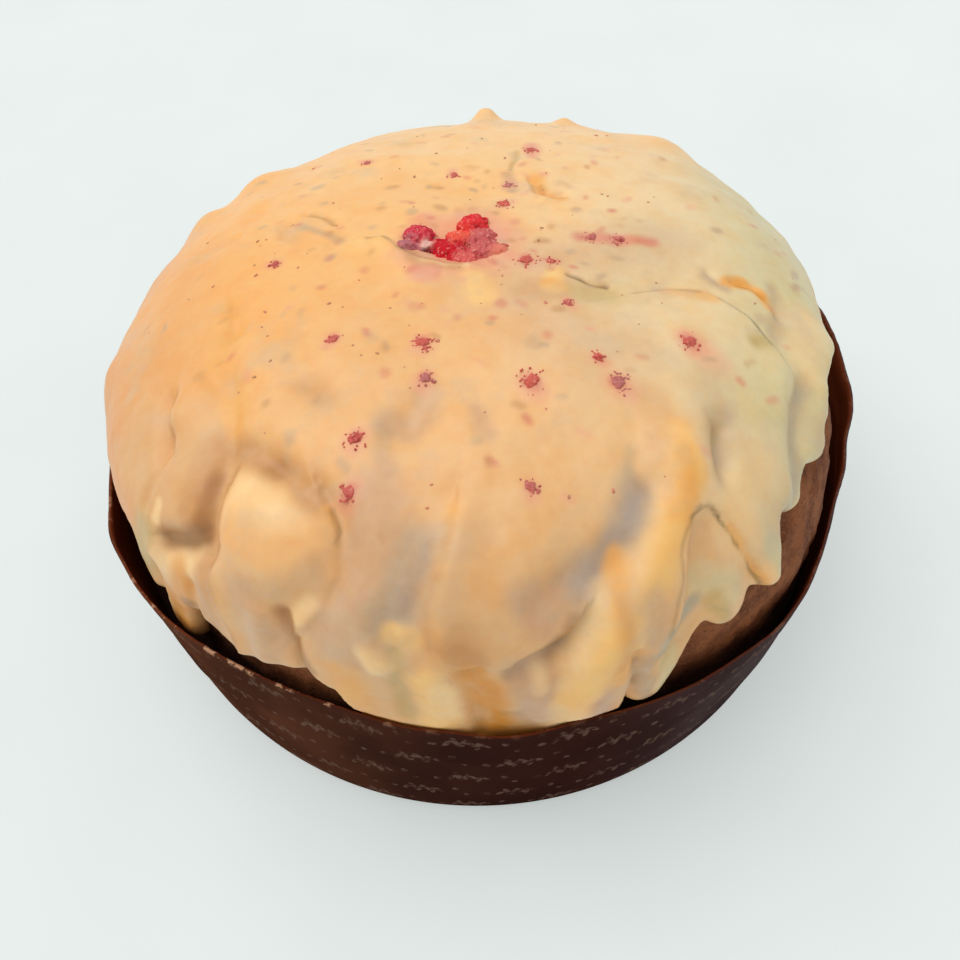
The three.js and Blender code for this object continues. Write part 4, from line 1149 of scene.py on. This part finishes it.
# Lumps of the broken berry on the crown: the middle from the crown's axis, and half sizes
BERRY_LUMPS = [
    ((-13.2, 0.6), (3.6, 3, 2.2)),
    ((-15.8, -3.2), (2.6, 1.5, 1)),
    ((-11, -3.4), (2.4, 2, 0.9)),
    ((-8.4, -3.2), (3, 2.6, 1.5)),
    ((-5.5, -5.4), (4.2, 2.8, 1.6)),
    ((0, 4), (3.6, 2.8, 2.6)),
    ((-3.6, -0.4), (3.4, 3, 2)),
    ((2.4, -1.6), (3.4, 3.8, 1.7)),
    ((3, -6), (3.8, 2.8, 1.2)),
    ((6.2, -6.6), (2.4, 1.4, 0.7)),
    ((-2, -8.4), (4.4, 1.2, 0.7)),
]
# Its tones: screen colour, place in plan and reach
BERRY_TONES = [
    ((214, 52, 72), (-13, 1), 3.4),
    ((186, 112, 118), (-16.2, -3.2), 2.4),
    ((240, 196, 178), (-11.2, -3.2), 1.3),
    ((60, 14, 14), (-10.8, -5.2), 1.1),
    ((206, 20, 38), (-6.2, -4.6), 3.4),
    ((234, 54, 58), (0.4, 4.6), 2.8),
    ((246, 100, 76), (-3.6, -0.2), 2.2),
    ((206, 98, 96), (2.8, -3.4), 3.8),
    ((232, 132, 108), (6.2, -6.8), 2),
    ((226, 104, 98), (-2, -8.6), 2.2),
]
# Each colour fades out from its place by this power of its reach
TONE_FADE = 1.6
# The berry: the size of its grains and how many it has for each square millimetre of a lump's half
# sizes, loose grains for each millimetre of half length, the size of its roughness and how far it
# stands out, the size of its mottling, and the fineness of its skin
BERRY = {
    "grain": 0.5,
    "grains": 18,
    "loose": 5,
    "rough_size": 1.1,
    "rough_rise": 0.55,
    "mottle": 1.6,
    "voxel": 0.26,
    "seed": 93,
}
# Crumbs: azimuth, fall and half length, and how far they have gone purple (1) from crimson (0)
CRUMBS = [
    (-106, 41, 2.1, 0.1), (-77, 50, 2.6, 0), (-38, 55, 2.2, 0.1), (-59, 54, 2.4, 0.8),
    (-111, 59, 2, 0.1), (-109, 65, 2, 0.2), (-102, 48, 1.7, 0.8), (-131, 46, 1.5, 0.2),
    (-42, 19, 2.2, 0.1), (-32, 24, 1.5, 0.2), (59, 18, 1.7, 0), (70, 46, 1.6, 0.3),
    (99, 33, 1.4, 0.3), (-175, 47, 1.3, 0.3), (124, 49, 1.3, 0.5), (-52, 36, 1.3, 0.4),
    (-59, 49, 1.3, 0), (69, 28, 1.4, 1), (-82, 64, 1.6, 0.5), (-3, 31, 1.6, 0.6),
    (-3, 37, 1.8, 0.5),
]
CRUMB_TONES = [(212, 100, 86), (188, 120, 114)]
# A crumb's core for each millimetre of its half length: half sizes, set grains and loose grains
CRUMB = {"core": (0.65, 0.5, 0.2), "grain": 0.26, "grains": 26, "loose": 20, "voxel": 0.2, "seed": 41}
# Loose grains lie within this many half sizes of a lump, the closer the more, and are this large
LOOSE = {"spread": 1.5, "crowding": 0.8, "size": (0.16, 0.36), "sunk": 0.1}
# Grains set in a lump vary in size between these shares, and more sit on top than below
GRAIN_SHARES = (0.6, 1.4)
GRAIN_BELOW = 0.25
SPECKS = {
    "count": 110,
    "falls": (6, 68),
    "size": (0.2, 0.55),
    "shape": (1.3, 0.8, 0.4),
    "raised": 0.1,
    "seed": 77,
}
# A little over a full turn, in radians
FULL_TURN = 6.3
# How finely the balls of grains and of specks are divided
GRAIN_LEVEL = 2
SPECK_LEVEL = 1


def round_template(level):
    shape = bmesh.new()
    bmesh.ops.create_icosphere(shape, subdivisions=level, radius=1)
    points = np.array([vertex.co[:] for vertex in shape.verts])
    faces = np.array([[vertex.index for vertex in face.verts] for face in shape.faces])
    shape.free()
    return points, faces


def joined_balls(name, balls, level):
    """One mesh of ellipsoids, each given by its middle and its three half axes"""
    template, template_faces = round_template(level)
    points = [template @ np.array(axes) + centre for centre, axes in balls]
    faces = [template_faces + i * len(template) for i in range(len(balls))]
    return mesh_object(name, np.vstack(points), np.vstack(faces))


def melted(piece, voxel):
    """The piece as one skin, with overlapping parts joined"""
    modifier = piece.modifiers.new("join", "REMESH")
    modifier.mode = "VOXEL"
    modifier.voxel_size = voxel * MM
    shapes = bpy.context.evaluated_depsgraph_get()
    mesh = bpy.data.meshes.new_from_object(piece.evaluated_get(shapes))
    piece.modifiers.clear()
    piece.data = mesh
    mesh.shade_smooth()
    return piece


def mesh_points(piece):
    flat = np.zeros(3 * len(piece.data.vertices))
    piece.data.vertices.foreach_get("co", flat)
    return flat.reshape(-1, 3) / MM


def set_mesh_points(piece, points):
    piece.data.vertices.foreach_set("co", (points * MM).ravel())
    piece.data.update()


def axes_at(place, turn=0.0):
    """Two directions along the dome and its normal, at one place"""
    up = dome_normals(np.array([place], float))[0]
    along = unit(np.cross(up, [math.sin(turn), math.cos(turn), 0.1]))
    return along, np.cross(up, along), up


def place_under(x, y):
    """The place on the dome, near the crown, that a point of the plan lies over"""
    azimuth = math.degrees(math.atan2(y, x))
    falls = np.linspace(0, 40, 81)
    points = bread_points(np.stack([np.full(len(falls), azimuth), falls], axis=1))
    return azimuth, float(np.interp(math.hypot(x, y), np.hypot(points[:, 0], points[:, 1]), falls))


def grainy_lump(place, axes, grain, count, draw):
    """An ellipsoid at a place on the icing, set with small grains"""
    centre = icing_points(np.array([place], float))[0]
    balls = [(centre, axes)]
    for _ in range(count):
        direction = unit(np.array([next(draw) - 0.5, next(draw) - 0.5, next(draw) - GRAIN_BELOW]))
        size = grain * between(*GRAIN_SHARES, next(draw))
        balls.append((centre + direction @ np.array(axes), size * np.eye(3)))
    return balls


def berry_tones(points):
    """The berry's colours, each fading out from its place"""
    share = np.zeros(len(points))
    mixed = np.zeros((len(points), 3))
    for tone, (x, y), reach in BERRY_TONES:
        away = np.hypot(points[:, 0] - x, points[:, 1] - y)
        weight = np.exp(-TONE_FADE * (away / reach) ** 2) + 1e-6
        mixed += weight[:, None] * np.array(colour(*tone)[:3])
        share += weight
    return mixed / share[:, None]


def make_raspberry():
    draw = drawer(BERRY["seed"])
    balls = []
    for (x, y), radii in BERRY_LUMPS:
        place = place_under(x, y)
        axes = np.array(axes_at(place)) * np.array(radii)[:, None]
        balls += grainy_lump(place, axes, BERRY["grain"], int(BERRY["grains"] * radii[0] * radii[1]), draw)
        balls += loose_grains(place, axes[0], axes[1], int(BERRY["loose"] * radii[0]), draw)
    piece = melted(joined_balls("raspberry_pieces", balls, GRAIN_LEVEL), BERRY["voxel"])
    points = mesh_points(piece)
    outward = unit(points - points.mean(0))
    points += BERRY["rough_rise"] * outward * noise_at(points, BERRY["rough_size"])[:, None]
    set_mesh_points(piece, points)
    mottle = noise_at(points, BERRY["mottle"])[:, None]
    add_colour(piece, "paint", berry_tones(points + mottle))
    return ready(piece, berry_material(), "berry", "raspberry")


def make_crumbs():
    draw = drawer(CRUMB["seed"])
    balls, middles = [], []
    for azimuth, fall, size, _ in CRUMBS:
        place = (azimuth, fall)
        reach = np.array(axes_at(place, FULL_TURN * next(draw))) * size
        core = reach * np.array(CRUMB["core"])[:, None]
        lump = grainy_lump(place, core, CRUMB["grain"], int(CRUMB["grains"] * size), draw)
        balls += lump + loose_grains(place, reach[0], reach[1], int(CRUMB["loose"] * size), draw)
        middles.append(lump[0][0])
    piece = melted(joined_balls("raspberry_crumbs", balls, GRAIN_LEVEL), CRUMB["voxel"])
    points = mesh_points(piece)
    away = np.linalg.norm(points[:, None] - np.array(middles)[None], axis=2)
    purple = np.array(CRUMBS)[away.argmin(1), 3][:, None]
    fresh, old = (np.array(colour(*tone)[:3]) for tone in CRUMB_TONES)
    add_colour(piece, "paint", fresh + (old - fresh) * purple)
    return ready(piece, berry_material(), "berry")


def loose_grains(place, along, across, count, draw):
    """Small grains that lie round a lump, the fewer the farther out"""
    up = dome_normals(np.array([place], float))[0]
    middle = icing_points(np.array([place], float))[0]
    grains = []
    for _ in range(count):
        turn = 2 * math.pi * next(draw)
        away = LOOSE["spread"] * next(draw) ** LOOSE["crowding"]
        a, b = away * math.cos(turn), away * math.sin(turn)
        size = between(*LOOSE["size"], next(draw))
        grains.append((middle + a * along + b * across - LOOSE["sunk"] * up, size * np.eye(3)))
    return grains


def make_specks():
    draw = drawer(SPECKS["seed"])
    places, balls, tones = [], [], []
    for _ in range(SPECKS["count"]):
        azimuth = 360 * next(draw) - 180
        places.append((azimuth, between(*SPECKS["falls"], next(draw) ** OUTWARD)))
    tops = icing_points(np.array(places))
    for place, top in zip(places, tops):
        size = between(*SPECKS["size"], next(draw) ** 2)
        axes = np.array(axes_at(place, FULL_TURN * next(draw))) * size
        shape = axes * np.array(SPECKS["shape"])[:, None]
        balls.append((top + SPECKS["raised"] * axes[2], shape))
        tones.append(next(draw))
    piece = joined_balls("specks", balls, SPECK_LEVEL)
    add_field(piece, "purple", np.repeat(tones, len(piece.data.vertices) // len(balls)))
    return ready(piece, speck_material(), "berry")


def berry_material():
    shader = Shader("freeze_dried_raspberry")
    paint = shader.node("ShaderNodeAttribute", {"attribute_name": "paint"}).outputs["Color"]
    grain = shader.grain(0.8, detail=4, rough=0.7)
    veins = shader.grain(2.2, detail=3, rough=0.6)
    tone = shader.mix(shader.spread(veins, 0.44, 0.32, 0, 0.6), paint, colour(150, 14, 34))
    tone = shader.mix(shader.spread(veins, 0.56, 0.72, 0, 0.45), tone, colour(244, 120, 96))
    tone = shader.mix(shader.spread(grain, 0.54, 0.68, 0, 0.7), tone, colour(238, 176, 160))
    tone = shader.mix(shader.spread(grain, 0.42, 0.3, 0, 0.7), tone, colour(120, 20, 36))
    relief = shader.bump(grain, 0.3)
    return shader.finish(Base_Color=tone, Roughness=0.8, Normal=relief, Specular_IOR_Level=0.2)


def speck_material():
    shader = Shader("tiny_specks")
    purple = shader.spread(shader.field("purple"), 0.4, 0.7)
    tone = shader.mix(purple, colour(202, 150, 106), colour(222, 142, 116))
    tone = shader.mix(shader.spread(shader.grain(0.6), 0.4, 0.6, 0, 0.5), tone, colour(170, 112, 84))
    return shader.finish(Base_Color=tone, Roughness=0.7)


# Camera, floor and light

SENSOR = 36
# The floor: half its width and how far it lies under the case, and its tones, lit and glowing
FLOOR = {"half": 2500, "below": 0.5, "cloud": 60}
FLOOR_TONES = [(168, 174, 172), (173, 179, 177)]
FLOOR_GLOW = [(166, 171, 170), (171, 176, 175)]
# Even light all round, and a soft sun: strengths, the sun's softness in degrees and the way it shines
LIGHT = {"sky": 0.6, "sky_tint": (1.0, 0.99, 0.97, 1), "sun": 1.5, "softness": 60, "way": (0.4, -0.1, -1)}


def make_camera():
    down, turn, roll = (math.radians(CAMERA[key]) for key in ("down", "turn", "roll"))
    forward = Vector((math.sin(turn) * math.cos(down), math.cos(turn) * math.cos(down), -math.sin(down)))
    right = forward.cross(Vector((0, 0, 1))).normalized()
    up = right.cross(forward)
    rolled_right = math.cos(roll) * right + math.sin(roll) * up
    rolled_up = math.cos(roll) * up - math.sin(roll) * right
    data = bpy.data.cameras.new("camera")
    data.sensor_width = SENSOR
    data.lens = data.sensor_width / 2 / math.tan(math.radians(CAMERA["view"] / 2))
    data.clip_start = 0.01
    camera = bpy.data.objects.new("camera", data)
    axes = Matrix((rolled_right, rolled_up, -forward)).transposed().to_4x4()
    camera.matrix_world = Matrix.Translation(Vector(CAMERA["place"]) * MM) @ axes
    bpy.context.scene.collection.objects.link(camera)
    bpy.context.scene.camera = camera


def make_floor():
    half, height = FLOOR["half"], -FLOOR["below"]
    corners = [(x * half, y * half, height) for x, y in ((-1, -1), (1, -1), (1, 1), (-1, 1))]
    floor = mesh_object("floor", corners, [(0, 1, 2, 3)], smooth=False)
    shader = Shader("pale_floor")
    cloudy = shader.grain(FLOOR["cloud"])
    tone = shader.mix(cloudy, *[colour(*screen) for screen in FLOOR_TONES])
    glow = shader.mix(cloudy, *[colour(*screen) for screen in FLOOR_GLOW])
    lit = shader.finish(Base_Color=tone, Roughness=0.9, Emission_Color=glow, Emission_Strength=1.0)
    floor.data.materials.append(lit)


def make_light():
    world = bpy.data.worlds.new("room")
    world.use_nodes = True
    sky = world.node_tree.nodes["Background"]
    sky.inputs["Color"].default_value = LIGHT["sky_tint"]
    sky.inputs["Strength"].default_value = LIGHT["sky"]
    bpy.context.scene.world = world
    data = bpy.data.lights.new("soft_daylight", "SUN")
    data.energy = LIGHT["sun"]
    data.angle = math.radians(LIGHT["softness"])
    light = bpy.data.objects.new("soft_daylight", data)
    light.rotation_euler = Vector(LIGHT["way"]).to_track_quat("-Z", "Y").to_euler()
    bpy.context.scene.collection.objects.link(light)
    bpy.context.scene.view_settings.view_transform = "Standard"


make_camera()
make_floor()
make_light()
make_icing()
make_bread()
make_case()
make_raspberry()
make_crumbs()
make_specks()
